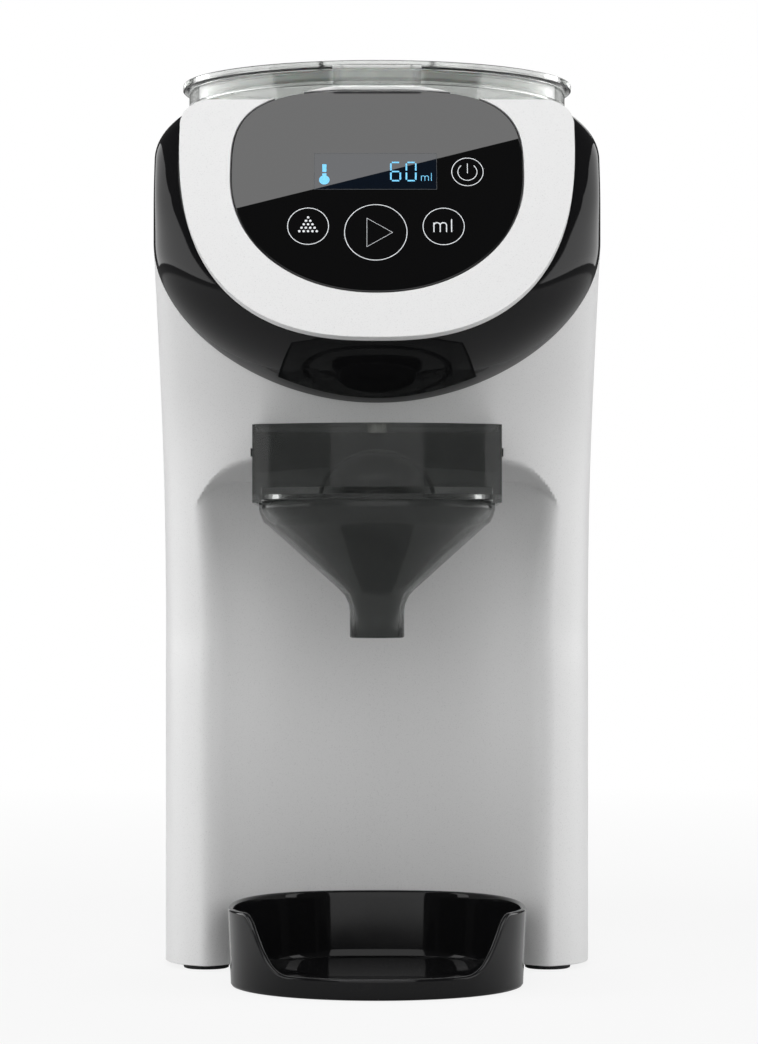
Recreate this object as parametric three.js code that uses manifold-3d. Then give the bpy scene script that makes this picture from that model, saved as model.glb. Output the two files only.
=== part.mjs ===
// Baby formula maker: a counter-top machine that doses powder from a round container,
// heats water from a rear tank and drops both through a funnel into a bottle on a tray.
// Millimetres, +X right, +Y back, +Z up. The origin is the bottom centre of the whole.
import * as THREE from "three";
import { mergeVertices } from "three/addons/utils/BufferGeometryUtils.js";
import Module from "manifold-3d";

const wasm = await Module();
wasm.setup();

// Shared sizes
const overallDepth = 300;
const bodyWidth = 150.8;
const gap = 0.3; // between two separate pieces that seat on each other
const overrun = 8; // how far a cutting block passes the face that it cuts
const weld = 0.001; // vertices nearer than this are one vertex
const wall = 2.6; // moulded housing wall
const thinWall = 2; // wall of the lighter mouldings

// Front to back stations, each measured back from the front of the bottle tray
const frontY = -overallDepth / 2;
const backY = overallDepth / 2;
const bodyHalf = bodyWidth / 2;
const traySideRoom = 25.1; // from the housing's side to the tray's
const trimSetback = 53;
const faceSetback = 20;
const cheekSetback = 86;
const lowSideSetback = 142;
const powderSetback = 124;
const seamSetback = 42.3;
const tankDepth = 47.7;
const tankProud = 2; // how far the tank stands out behind the housing
const trayRadius = bodyHalf - traySideRoom;
const axisY = frontY + trayRadius; // the axis of bottle, tray, funnel and alcove
const trimY = frontY + trimSetback; // where the white housing ends and the black trim begins
const faceFootY = frontY + faceSetback; // lowest point of the slanted face
const cheekY = frontY + cheekSetback; // foremost point of the housing beside the bottle
const lowSideY = frontY + lowSideSetback; // where the low side wall starts to turn in
const powderY = frontY + powderSetback; // axis of powder container, lid and drive shaft
const tankFrontY = backY - tankDepth;
const splitY = tankFrontY - seamSetback; // seam between front and rear housing
const housingBackY = backY - tankProud;

// Heights
const footHeight = 1.8;
const deckHeight = 295;
const ledgeHeight = 123; // the shelf that carries the water tank
const faceDrop = 78.8; // from the deck down to the foot of the slanted face
const wellDepth = 92;
const wellRise = 13.5; // from the roof of the funnel bay up to the well floor
const bayRise = 18.5; // from the alcove's roof up to the roof of the funnel bay
const faceFootHeight = deckHeight - faceDrop;
const wellFloor = deckHeight - wellDepth;
const bayHeight = wellFloor - wellRise;
const alcoveHeight = bayHeight - bayRise;

// Housing form
const shoulderRadius = 16;
const rearRadius = 24;
const flareDrop = 56; // from the alcove's roof down to where the housing starts to flare
const flareHeadroom = 45; // from the deck down to where it is widest
const noseBlendDrop = 15;
const noseBlendRise = 50;
const flarePower = 1.5;
const flareLow = alcoveHeight - flareDrop;
const flareHigh = deckHeight - flareHeadroom;
const squareLow = flareLow - noseBlendDrop;
const squareHigh = flareHigh - noseBlendRise;
const lowNosePower = 4.2;
const headNosePower = 2;
const headNoseDepth = 47.5;
const lowNoseDepth = lowSideY - cheekY;
const topWall = 5; // the housing's top rim, which holds the deck in a rebate
const noseSteps = 26;
const flareSteps = 9;
const shoulderSteps = 4;
const cornerSteps = 4;

// Slanted face
const faceTilt = THREE.MathUtils.degToRad(22.6);
const facePlateThickness = 2.8;
const faceMargin = 8.9; // from the housing's side to the face's
const faceHalf = bodyHalf - faceMargin;
const faceRound = 75; // height of the rounded lower part of the face outline
const facePower = 2.5;
const faceTop = 89.4; // up the slant from the foot to the top edge
const faceCornerRadius = 10;
const faceBump = 4.4; // rise of the top edge over the touch panel
const faceShoulder = 27.5; // from the face's side to the foot of its raised top edge
const faceBumpHalf = faceHalf - faceShoulder;
const faceBumpRamp = 27;
const faceSteps = 40;
const bumpSteps = 8;
const lensMargin = 17.5;
const lensHalf = faceHalf - lensMargin;
const lensMiddle = 60; // up the slant to the widest line of the panel
const lensUp = 32.7;
const lensDown = 43.4;
const lensUpPower = 3.3;
const lensDownPower = 2.1;
const lensSteps = 48;
const lensThickness = 1.8;
const lensLedge = 3; // rebate of the face plate that the lens sits in

// Powder container
const bowlRoom = 27.4; // from the housing's side to the bowl
const bowlWall = 2;
const wellRoom = 1.2;
const rimRoom = 11.4;
const rimRise = 14;
const lidOverhang = 5;
const lidRise = 3.2;
const doseShare = 0.75; // of the bowl's radius
const chuteShare = 1 / 6;
const gearShare = 1.25 / 48; // gear module over the bowl's radius
const bowlRadius = bodyHalf - bowlRoom;
const wellRadius = bowlRadius + wellRoom;
const containerRimRadius = bodyHalf - rimRoom;
const containerRimHeight = deckHeight + rimRise;
const lidRadius = containerRimRadius + lidOverhang;
const lidTop = containerRimHeight + lidRise;
const doseRadius = bowlRadius * doseShare; // from the powder axis to the pockets and outlet
const chuteRadius = bowlRadius * chuteShare;
const chuteShift = 6; // how far the chute leans towards the funnel

// Funnel
const coverRoom = 34.2; // from the housing's side to the funnel cover's
const coverClearance = 1.8;
const coverRear = 41.7; // from the axis to the back of the cover
const tongueDrop = 9.4;
const tongueDepth = 3.2;
const tongueHeight = 3.4;
const coverHalf = bodyHalf - coverRoom;
const coverTop = bayHeight - coverClearance;
const coverRearY = axisY + coverRear;
const tongueBase = coverTop - tongueDrop;
const tongueRun = 17;

// Drive
const shaftRadius = 3;
const gearTeeth = 36;
const pinionTeeth = 12;
const addendumShare = 0.85;
const dedendumShare = 1.15;
const gearModule = bowlRadius * gearShare;
const gearDrop = 19;
const gearThickness = 8;
const gearBase = wellFloor - gearDrop;
const bracketBase = gearBase - gearThickness;
const bracketThickness = 2.5;
const motorY = powderY + (gearModule * (gearTeeth + pinionTeeth)) / 2;

// Base
const baseBottom = footHeight;
const baseThickness = 2.6;
const baseTop = baseBottom + baseThickness;

const roundSides = 28;
const bowlSides = 40;
const smallSides = 12;

// Looks of the separate mouldings, as in the maker's colour chart
const looks = {
  white: { color: 0xe9e9ea, roughness: 0.45, metalness: 0 },
  black: { color: 0x0b0b0c, roughness: 0.12, metalness: 0 },
  clear: { color: 0xdfe6e2, roughness: 0.08, metalness: 0, transparent: true, opacity: 0.35 },
  smoke: { color: 0x2d3033, roughness: 0.12, metalness: 0, transparent: true, opacity: 0.75 },
  rubber: { color: 0x1d1d1f, roughness: 0.8, metalness: 0 },
  steel: { color: 0xb9bcc0, roughness: 0.3, metalness: 1 },
  alloy: { color: 0xa7a9ac, roughness: 0.4, metalness: 0.9 },
  nylon: { color: 0xf1efe6, roughness: 0.6, metalness: 0 },
  board: { color: 0x1f5a38, roughness: 0.6, metalness: 0 },
  silicone: { color: 0xd9dddc, roughness: 0.6, metalness: 0 },
};

const group = new THREE.Group();

// Turns a closed mesh into a solid that can be cut and joined.
function solid(geometry) {
  const bare = geometry.clone();
  bare.deleteAttribute("normal");
  bare.deleteAttribute("uv");
  const merged = mergeVertices(bare, weld);
  const mesh = new wasm.Mesh({
    numProp: 3,
    vertProperties: new Float32Array(merged.attributes.position.array),
    triVerts: new Uint32Array(merged.index.array),
  });
  return new wasm.Manifold(mesh);
}

// Turns a solid back into a mesh geometry.
function geometryOf(made) {
  const mesh = made.getMesh();
  const geometry = new THREE.BufferGeometry();
  geometry.setAttribute("position", new THREE.BufferAttribute(mesh.vertProperties, 3));
  geometry.setIndex(new THREE.BufferAttribute(mesh.triVerts, 1));
  geometry.computeVertexNormals();
  return geometry;
}

// Adds one named piece to the model.
function place(name, look, made) {
  const mesh = new THREE.Mesh(geometryOf(made), new THREE.MeshStandardMaterial(looks[look]));
  mesh.name = name;
  group.add(mesh);
}

const joined = (parts) => parts.reduce((all, part) => all.add(part));
const clamp = (value) => Math.min(Math.max(value, 0), 1);
const smooth = (value) => clamp(value) ** 2 * (3 - 2 * clamp(value));
const mix = (from, to, share) => from + (to - from) * share;
const both = (make) => [-1, 1].map(make);

// A block between two corners.
function block(x0, x1, y0, y1, z0, z1) {
  const box = new THREE.BoxGeometry(x1 - x0, y1 - y0, z1 - z0);
  return solid(box.translate((x0 + x1) / 2, (y0 + y1) / 2, (z0 + z1) / 2));
}

// A profile of [radius, height] points turned about a vertical axis at (x, y).
function turned(profile, x, y, sides = roundSides) {
  const points = profile.map(([radius, height]) => new THREE.Vector2(radius, height));
  const ring = points[0].x > 0 ? [...points, points[0].clone()] : points;
  const lathe = new THREE.LatheGeometry(ring, sides);
  return solid(lathe.rotateX(Math.PI / 2).translate(x, y, 0));
}

// A plain upright cylinder.
function rod(radius, z0, z1, x, y, sides = smallSides) {
  const profile = [[0, z0], [radius, z0], [radius, z1], [0, z1]];
  return turned(profile, x, y, sides);
}

// A ring with square edges.
function collar(inner, outer, z0, z1, x, y, sides = roundSides) {
  return turned([[inner, z0], [outer, z0], [outer, z1], [inner, z1]], x, y, sides);
}

// A plain cylinder that lies along X.
function pin(radius, x0, x1, y, z, sides = smallSides) {
  const shaft = new THREE.CylinderGeometry(radius, radius, x1 - x0, sides);
  return solid(shaft.rotateZ(Math.PI / 2).translate((x0 + x1) / 2, y, z));
}

// An outline of [x, y] points raised from z0 to z1.
function raised(outline, z0, z1) {
  const shape = new THREE.Shape(outline.map(([x, y]) => new THREE.Vector2(x, y)));
  const made = new THREE.ExtrudeGeometry(shape, { depth: z1 - z0, bevelEnabled: false });
  return solid(made.translate(0, 0, z0));
}

// A closed skin over rings of the same number of points, each counter-clockwise from ahead.
function skinned(rings, flatten) {
  const count = rings[0].length;
  const places = rings.flat();
  const faces = [];
  for (let level = 0; level < rings.length - 1; level++) {
    for (let i = 0; i < count; i++) {
      const low = level * count + i;
      const lowNext = level * count + ((i + 1) % count);
      faces.push(low, lowNext, lowNext + count, low, lowNext + count, low + count);
    }
  }
  const last = (rings.length - 1) * count;
  for (const [a, b, c] of THREE.ShapeUtils.triangulateShape(rings[0].map(flatten), [])) {
    faces.push(c, b, a);
  }
  for (const [a, b, c] of THREE.ShapeUtils.triangulateShape(rings.at(-1).map(flatten), [])) {
    faces.push(last + a, last + b, last + c);
  }
  const geometry = new THREE.BufferGeometry().setFromPoints(places);
  geometry.setIndex(faces);
  return solid(geometry);
}

const fromAbove = (point) => new THREE.Vector2(point.x, point.y);

// A hose of the given radius along a smooth curve through the points.
const hoseSteps = 20;
const hoseSides = 8;
function hose(points, radius) {
  const path = new THREE.CatmullRomCurve3(points.map((p) => new THREE.Vector3(...p)));
  const section = new THREE.Shape().absarc(0, 0, radius, 0, 2 * Math.PI);
  const options = { steps: hoseSteps, curveSegments: hoseSides / 2, extrudePath: path };
  return solid(new THREE.ExtrudeGeometry(section, options));
}

// Housing

// Half width of the housing at a height, moved in by an inset.
function housingHalf(z, inset) {
  const rise = Math.max(z - (deckHeight - shoulderRadius), 0);
  const round = Math.sqrt(Math.max((shoulderRadius - inset) ** 2 - rise ** 2, 0));
  return bodyHalf - shoulderRadius + round;
}

// One level outline of the housing: a rounded nose in front and round rear corners.
function housingRing(z, inset) {
  const forward = clamp((z - flareLow) / (flareHigh - flareLow)) ** flarePower;
  const side = mix(lowSideY, trimY, forward);
  const square = smooth((z - squareLow) / (squareHigh - squareLow));
  const depth = mix(lowNoseDepth, headNoseDepth, square) - inset;
  const power = mix(lowNosePower, headNosePower, square);
  const half = housingHalf(z, inset);
  const corner = rearRadius - inset;
  const ring = [];
  for (const turn of [0, 1]) {
    const centreX = (half - corner) * (turn ? -1 : 1);
    for (let i = 0; i <= cornerSteps; i++) {
      const angle = ((turn + i / cornerSteps) * Math.PI) / 2;
      const y = housingBackY - rearRadius + corner * Math.sin(angle);
      ring.push(new THREE.Vector3(centreX + corner * Math.cos(angle), y, z));
    }
  }
  for (let i = 0; i <= noseSteps; i++) {
    const angle = (i / noseSteps) * Math.PI;
    const across = Math.cos(angle);
    const x = -half * Math.sign(across) * Math.abs(across) ** (2 / power);
    const y = side - depth * Math.sin(angle) ** (2 / power);
    ring.push(new THREE.Vector3(x, y, z));
  }
  return ring;
}

// The housing's outer form, or its hollow when an inset is given.
function housingForm(bottom, top, inset) {
  const heights = [bottom, squareLow];
  for (let i = 0; i <= flareSteps; i++) heights.push(mix(flareLow, flareHigh, i / flareSteps));
  const shoulder = deckHeight - shoulderRadius;
  const reach = Math.min(top - shoulder, shoulderRadius - inset);
  for (let i = 0; i <= shoulderSteps; i++) {
    heights.push(shoulder + reach * Math.sin((i / shoulderSteps) * (Math.PI / 2)));
  }
  return skinned(heights.map((z) => housingRing(z, inset)), fromAbove);
}

// The round alcove in which the bottle stands.
const cheekWidth = 4.7; // from the housing's side to the alcove's wall
const alcoveRadius = bodyHalf - cheekWidth;
const alcoveEdge = 17;
const alcoveEdgeSteps = 6;
const alcoveSides = 72;
function alcoveForm(grow) {
  const radius = alcoveRadius + grow;
  const top = alcoveHeight + grow;
  const profile = [[0, -overrun], [radius, -overrun]];
  for (let i = 0; i <= alcoveEdgeSteps; i++) {
    const angle = ((i / alcoveEdgeSteps) * Math.PI) / 2;
    const inward = alcoveEdge * (1 - Math.cos(angle));
    profile.push([radius - inward, top - alcoveEdge * (1 - Math.sin(angle))]);
  }
  profile.push([0, top]);
  return turned(profile, 0, axisY, alcoveSides);
}

// The bay that the funnel slides into, with a groove in each side wall.
const bayHalf = coverHalf + 2 * gap;
const bayRearY = coverRearY + 2 * gap;
function bayForm(grow) {
  const low = alcoveHeight - alcoveEdge;
  const half = bayHalf + (grow ? tongueDepth + grow : 0);
  return block(-half, half, frontY, bayRearY + grow, low, bayHeight + grow);
}
function bayGrooves() {
  const half = bayHalf + tongueDepth;
  return block(-half, half, frontY, bayRearY, tongueBase - gap, tongueBase + tongueHeight + gap);
}

// Everything in front of the back of the slanted face plate.
function faceCut() {
  const size = overallDepth;
  const cut = new THREE.BoxGeometry(size, size, size).translate(0, -size / 2, 0);
  cut.translate(0, facePlateThickness + gap, 0).rotateX(-faceTilt);
  return solid(cut.translate(0, faceFootY, faceFootHeight));
}

// A level rectangle with round corners.
function roundedOutline(x0, x1, y0, y1, radius) {
  const points = [];
  const corners = [[x1, y1, 0], [x0, y1, 1], [x0, y0, 2], [x1, y0, 3]];
  for (const [x, y, quarter] of corners) {
    const centreX = x + (x > (x0 + x1) / 2 ? -radius : radius);
    const centreY = y + (y > (y0 + y1) / 2 ? -radius : radius);
    for (let i = 0; i <= cornerSteps; i++) {
      const angle = ((quarter + i / cornerSteps) * Math.PI) / 2;
      points.push([centreX + radius * Math.cos(angle), centreY + radius * Math.sin(angle)]);
    }
  }
  return points;
}

const deckSideLedge = 19.9;
const deckFrontLedge = 7;
const deckRearLedge = 12;
const deckHalf = bodyHalf - deckSideLedge;
const deckFrontY = trimY + deckFrontLedge;
const deckBackY = tankFrontY - deckRearLedge;
const deckCorner = 12;
const deckThickness = 2.4;
const deckLedge = 3;
function deckOutline(inset) {
  const half = deckHalf - inset;
  return roundedOutline(-half, half, deckFrontY + inset, deckBackY - inset, deckCorner - inset);
}

const glandX = -38;
const glandHeight = 24;
const glandRadius = 6.5;
const socketRadius = 7;
const socketY = tankFrontY + tankDepth / 2;
const tongueSlotHalf = 15;
const traySlotBase = 6;
const trayTongueThickness = 3;
const waterX = 0;
const waterSetback = 15.2;
const waterY = axisY + waterSetback;
const waterRadius = 3.2;
const chuteWall = 1.6;
const chuteTopY = powderY - doseRadius;
const chuteLowY = chuteTopY - chuteShift;

// A hole through the rear wall for the cord gland.
function glandHole(radius) {
  const hole = new THREE.CylinderGeometry(radius, radius, rearRadius, smallSides);
  return solid(hole.translate(glandX, housingBackY, glandHeight));
}

// Both housings before they are parted at the seam.
function housing() {
  const tankBay = (grow) => {
    const half = bodyWidth;
    return block(-half, half, tankFrontY - gap - grow, backY + overrun, ledgeHeight - grow,
      deckHeight + overrun);
  };
  let hollow = housingForm(-overrun, deckHeight - topWall, wall);
  hollow = hollow.subtract(alcoveForm(wall)).subtract(bayForm(wall)).subtract(tankBay(wall));
  const cuts = [
    hollow,
    alcoveForm(0),
    bayForm(0),
    bayGrooves(),
    tankBay(0),
    faceCut(),
    block(-bodyWidth, bodyWidth, frontY - overrun, trimY, 0, deckHeight + overrun),
    raised(deckOutline(deckLedge), deckHeight - topWall - wall, deckHeight + overrun),
    raised(deckOutline(-gap), deckHeight - deckThickness - gap, deckHeight + overrun),
    chute(chuteWall + 2 * gap, bayHeight - wall, bayHeight + 2 * wall),
    rod(waterRadius + gap, bayHeight - wall, bayHeight + 2 * wall, waterX, waterY),
    block(-tongueSlotHalf - gap, tongueSlotHalf + gap, axisY, axisY + alcoveRadius + 2 * wall,
      traySlotBase - gap, traySlotBase + trayTongueThickness + gap),
    glandHole(glandRadius + gap),
    rod(socketRadius + gap, ledgeHeight - 2 * wall, ledgeHeight + wall, 0, socketY),
  ];
  return cuts.reduce((left, cut) => left.subtract(cut), housingForm(footHeight, deckHeight, 0));
}

const whole = housing();
const seamHalf = gap / 2;
place("body_shell", "white", whole.intersect(
  block(-bodyWidth, bodyWidth, frontY - overrun, splitY - seamHalf, -overrun, deckHeight + overrun)));
place("rear_housing", "white", whole.intersect(
  block(-bodyWidth, bodyWidth, splitY + seamHalf, backY + overrun, -overrun, deckHeight + overrun)));

// Deck with the well that the powder container drops into
const wellWall = 1.8;
const wellFloorThickness = 2;
function topDeck() {
  const outer = wellRadius + wellWall;
  const floorBottom = wellFloor - wellFloorThickness;
  const plate = raised(deckOutline(0), deckHeight - deckThickness, deckHeight);
  const well = rod(outer, floorBottom, deckHeight - deckThickness / 2, 0, powderY, bowlSides);
  const inside = rod(wellRadius, wellFloor, deckHeight + overrun, 0, powderY, bowlSides);
  return joined([plate, well, chute(chuteWall, bayHeight + gap, floorBottom + gap)])
    .subtract(inside)
    .subtract(chute(0, bayHeight - overrun, wellFloor + overrun))
    .subtract(rod(shaftRadius + 2 * gap, floorBottom - overrun, wellFloor + overrun, 0, powderY));
}

// A leaning round chute between the well floor and the funnel bay.
function chute(grow, z0, z1) {
  const ring = (z) => {
    const share = (z - bayHeight) / (wellFloor - bayHeight);
    const centre = mix(chuteLowY, chuteTopY, share);
    return Array.from({ length: roundSides }, (_, i) => {
      const angle = (i / roundSides) * 2 * Math.PI;
      const radius = chuteRadius + grow;
      return new THREE.Vector3(radius * Math.cos(angle), centre + radius * Math.sin(angle), z);
    });
  };
  return skinned([ring(z0), ring(z1)], fromAbove);
}
place("top_deck", "white", topDeck());

// Slanted face: u runs across, v up the slant, and w out of it towards the user
const upSlant = new THREE.Vector3(0, Math.sin(faceTilt), Math.cos(faceTilt));
const outOfFace = new THREE.Vector3(0, -Math.cos(faceTilt), Math.sin(faceTilt));
function onFace(u, v, w) {
  return new THREE.Vector3(u, faceFootY, faceFootHeight)
    .addScaledVector(upSlant, v)
    .addScaledVector(outOfFace, w);
}

// A solid drawn flat, with x as u, y as v and z as w, laid on the slant.
function laidOnFace(flat) {
  const m = new THREE.Matrix4().makeBasis(new THREE.Vector3(1, 0, 0), upSlant, outOfFace);
  m.setPosition(0, faceFootY, faceFootHeight);
  return flat.transform(m.elements);
}

// Half of the face outline from the foot to the middle of the top edge, moved in by an inset.
function faceSide(inset) {
  const side = [];
  for (let i = 0; i <= faceSteps / 2; i++) {
    const angle = (i / faceSteps) * Math.PI;
    const across = (faceHalf - inset) * Math.sin(angle) ** (2 / facePower);
    side.push([across, faceRound - (faceRound - inset) * Math.cos(angle) ** (2 / facePower)]);
  }
  const corner = faceCornerRadius - inset;
  for (let i = 0; i <= cornerSteps; i++) {
    const angle = ((i / cornerSteps) * Math.PI) / 2;
    const middle = faceTop - faceCornerRadius;
    side.push([faceHalf - faceCornerRadius + corner * Math.cos(angle), middle + corner * Math.sin(angle)]);
  }
  for (let i = 0; i < bumpSteps; i++) {
    const u = faceBumpHalf * (1 - i / bumpSteps);
    const rise = faceBump * smooth((faceBumpHalf - u) / faceBumpRamp);
    side.push([u, faceTop + rise - inset]);
  }
  return side;
}
function faceOutline(inset) {
  const right = faceSide(inset);
  const left = right.slice(1).map(([u, v]) => [-u, v]).reverse();
  return [...right, [0, faceTop + faceBump - inset], ...left];
}

// The touch panel's outline: flatter above its middle, rounder below.
function lensOutline(inset) {
  return Array.from({ length: lensSteps }, (_, i) => {
    const angle = (i / lensSteps) * 2 * Math.PI;
    const up = Math.sin(angle) > 0;
    const power = up ? lensUpPower : lensDownPower;
    const reach = (up ? lensUp : lensDown) - inset;
    const across = Math.abs(Math.cos(angle)) ** (2 / power) * Math.sign(Math.cos(angle));
    const rise = Math.abs(Math.sin(angle)) ** (2 / power) * Math.sign(Math.sin(angle));
    return [(lensHalf - inset) * across, lensMiddle + reach * rise];
  });
}

// Posts behind the face plate carry the touch board.
const postRadius = 2.4;
const upperPost = 76;
const upperPostInset = 16.5;
const lowerPost = 28;
const lowerPostInset = 26.5;
const postPlaces = [[faceHalf - upperPostInset, upperPost], [faceHalf - lowerPostInset, lowerPost]];
const boardTop = 80; // up the slant to the board's straight top edge
const boardInset = 10; // from the face outline to the board's edge
const boardDepth = 7.2; // from the front of the face plate to the front of the touch board
const boardThickness = 1.6;
function facePlate() {
  const plate = raised(faceOutline(0), -facePlateThickness, 0);
  const posts = postPlaces.flatMap(([u, v]) => both((side) =>
    rod(postRadius, gap - boardDepth, -facePlateThickness / 2, side * u, v)));
  return laidOnFace(joined([plate, ...posts])
    .subtract(raised(lensOutline(-gap), -lensThickness - gap, overrun))
    .subtract(raised(lensOutline(lensLedge), -boardDepth, overrun)));
}
place("face_plate", "white", facePlate());
place("panel_lens", "black", laidOnFace(raised(lensOutline(0), -lensThickness, 0)));

// Display and touch board behind the panel
const displayHalf = 21;
const displayLow = 54;
const displayHigh = 69.5;
const displayFront = 2.4; // below the front of the face plate
const boardBack = -boardDepth - boardThickness;
function touchBoard() {
  const board = raised(faceOutline(boardInset), boardBack, -boardDepth);
  return board.intersect(block(-faceHalf, faceHalf, 0, boardTop, boardBack - overrun, 0));
}
place("touch_board", "board", laidOnFace(touchBoard()));
place("display_module", "black", laidOnFace(
  block(-displayHalf, displayHalf, displayLow, displayHigh, gap - boardDepth, -displayFront)));

// Black trim band: a rounded wedge between the housing's front edge and the face
const trimStations = 44;
const trimReach = THREE.MathUtils.degToRad(118); // from straight down to each tip
const trimRise = 37.8; // from the foot up to the height that the stations fan out from
const trimMiddle = faceFootHeight + trimRise;
const trimSections = 4; // steps across the rounded outside
const trimBulge = 6;
const trimBulgeShare = 0.62;
const trimWall = 2.4;
const trimLip = 6; // how far the front edge reaches in behind the face plate
const searchSteps = 40;

// Distance from a centre at which a ray leaves a form, found by halving.
function edgeAlong(inside, limit) {
  let low = 0;
  let high = limit;
  for (let i = 0; i < searchSteps; i++) {
    const middle = (low + high) / 2;
    if (inside(middle)) low = middle;
    else high = middle;
  }
  return low;
}

// The edge of the housing in the trim plane, straight out from the middle point.
function housingEdge(angle, inset) {
  const reach = edgeAlong((distance) => {
    const x = Math.abs(distance * Math.sin(angle));
    const z = trimMiddle - distance * Math.cos(angle);
    if (z > deckHeight - inset) return false;
    const forward = clamp((z - flareLow) / (flareHigh - flareLow)) ** flarePower;
    const side = mix(lowSideY, trimY, forward);
    const half = housingHalf(z, inset);
    if (x > half) return false;
    const width = (1 - (x / half) ** headNosePower) ** (1 / headNosePower);
    return side - (headNoseDepth - inset) * width < trimY;
  }, bodyWidth);
  return new THREE.Vector3(reach * Math.sin(angle), trimY, trimMiddle - reach * Math.cos(angle));
}

// The edge of the face outline, straight out from the same middle point, at a depth w.
function faceEdge(angle, inset, w) {
  const outline = faceOutline(inset);
  const middle = (trimMiddle - faceFootHeight) / Math.cos(faceTilt);
  const way = [Math.sin(angle), -Math.cos(angle)];
  let best = 0;
  outline.forEach(([u0, v0], i) => {
    const [u1, v1] = outline[(i + 1) % outline.length];
    const cross = way[0] * (v1 - v0) - way[1] * (u1 - u0);
    const reach = (u0 * (v1 - v0) - (v0 - middle) * (u1 - u0)) / cross;
    const share = (u0 * way[1] - (v0 - middle) * way[0]) / cross;
    if (share >= 0 && share <= 1 && reach > best) best = reach;
  });
  return onFace(best * way[0], middle + best * way[1], w);
}

function trimBand() {
  const rings = [];
  for (let i = 0; i <= trimStations; i++) {
    const angle = mix(-trimReach, trimReach, i / trimStations);
    const back = housingEdge(angle, 0).setY(trimY - gap);
    const front = faceEdge(angle, 0, -facePlateThickness - gap);
    const outward = new THREE.Vector3(Math.sin(angle), 0, -Math.cos(angle));
    const depth = back.y - front.y;
    const swell = trimBulge * Math.min(depth / trimBulge, 1);
    const corner = back.clone().lerp(front, 1 - trimBulgeShare).setY(mix(back.y, front.y, trimBulgeShare));
    corner.addScaledVector(outward, swell / 2);
    const outer = Array.from({ length: trimSections + 1 }, (_, step) => {
      const share = step / trimSections;
      const near = back.clone().lerp(corner, share);
      return near.lerp(corner.clone().lerp(front, share), share);
    });
    const inner = [
      faceEdge(angle, trimLip, -facePlateThickness - gap),
      faceEdge(angle, trimLip, -facePlateThickness - trimWall),
      housingEdge(angle, trimWall).setY(trimY - gap),
    ];
    rings.push([...outer, ...inner]);
  }
  const count = rings[0].length;
  const faces = [];
  for (let level = 0; level < trimStations; level++) {
    for (let i = 0; i < count; i++) {
      const low = level * count + i;
      const next = level * count + ((i + 1) % count);
      faces.push(low, next, next + count, low, next + count, low + count);
    }
  }
  const last = trimStations * count;
  for (let i = 1; i < count - 1; i++) {
    faces.push(0, i + 1, i, last, last + i, last + i + 1);
  }
  const geometry = new THREE.BufferGeometry().setFromPoints(rings.flat());
  geometry.setIndex(faces.reverse());
  return solid(geometry).subtract(faceCut());
}
place("trim_band", "black", trimBand());

// Base plate with vents, and four rubber feet pushed into it
const footRadius = 8;
const stemRadius = 3;
const stemHeight = 6;
const frontFootInset = 15.4;
const frontFootSetback = 20; // behind the foremost point of the cheeks
const rearFootInset = 23.4;
const rearFootSetback = 26;
const footPlaces = {
  front: [bodyHalf - frontFootInset, cheekY + frontFootSetback],
  rear: [bodyHalf - rearFootInset, housingBackY - rearFootSetback],
};
const ventCount = 5;
const ventPitch = 11;
const ventWidth = 4;
const ventHalf = 22;
const ventSetback = 98;
const ventY = housingBackY - ventSetback;
const railHeight = 4;
const controlInset = 17.4;
const boardX = controlInset - bodyHalf; // front face of the upright control board
const controlBoardThickness = 1.6;
const controlLength = 80;
const controlSetback = 58;
const controlHighY = housingBackY - controlSetback;
const controlLowY = controlHighY - controlLength;
function basePlate() {
  const inset = wall + gap;
  const plate = skinned([baseBottom, baseTop].map((z) => housingRing(z, inset)), fromAbove);
  const vents = Array.from({ length: ventCount }, (_, i) => {
    const y = ventY + i * ventPitch;
    return block(-ventHalf, ventHalf, y, y + ventWidth, 0, baseTop + overrun);
  });
  const stems = footSpots().map(([, x, y]) => rod(stemRadius + gap, 0, baseTop + overrun, x, y));
  const rails = [boardX - controlBoardThickness - gap - thinWall, boardX + gap].map((x) =>
    block(x, x + thinWall, controlLowY, controlHighY, baseTop - thinWall / 2, baseTop + railHeight));
  const cuts = [alcoveForm(inset), ...vents, ...stems];
  return cuts.reduce((left, cut) => left.subtract(cut), plate).add(joined(rails));
}

// The four feet as [name, x, y].
function footSpots() {
  return Object.entries(footPlaces).flatMap(([end, [x, y]]) =>
    both((side) => [`foot_${end}_${side < 0 ? "left" : "right"}`, side * x, y]));
}
place("base_plate", "black", basePlate());
for (const [name, x, y] of footSpots()) {
  const profile = [[0, 0], [footRadius, 0], [footRadius, footHeight], [stemRadius, footHeight]];
  profile.push([stemRadius, stemHeight], [0, stemHeight]);
  place(name, "rubber", turned(profile, x, y, smallSides));
}

// Power supply, control board and the gland that the mains cord would pass
const supplyX0 = -50;
const supplyX1 = -8;
const supplySetback = 53;
const supplyLength = 65;
const supplyY1 = housingBackY - supplySetback;
const supplyY0 = supplyY1 - supplyLength;
const supplyHeight = 32;
place("power_supply", "board", block(supplyX0, supplyX1, supplyY0, supplyY1, baseTop + gap,
  baseTop + supplyHeight));

const controlHeight = 80;
const relayDepth = 9;
const relaySize = 16;
const relayPlaces = [[10, 60], [32, 60], [54, 40]];
function controlBoard() {
  const low = baseTop + gap;
  const board = block(boardX - controlBoardThickness, boardX, controlLowY, controlHighY, low,
    low + controlHeight);
  const relays = relayPlaces.map(([along, up]) => {
    const y = controlLowY + along;
    const x = boardX - controlBoardThickness / 2;
    return block(x, x + relayDepth, y, y + relaySize, low + up, low + up + relaySize);
  });
  return joined([board, ...relays]);
}
place("control_board", "board", controlBoard());

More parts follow.
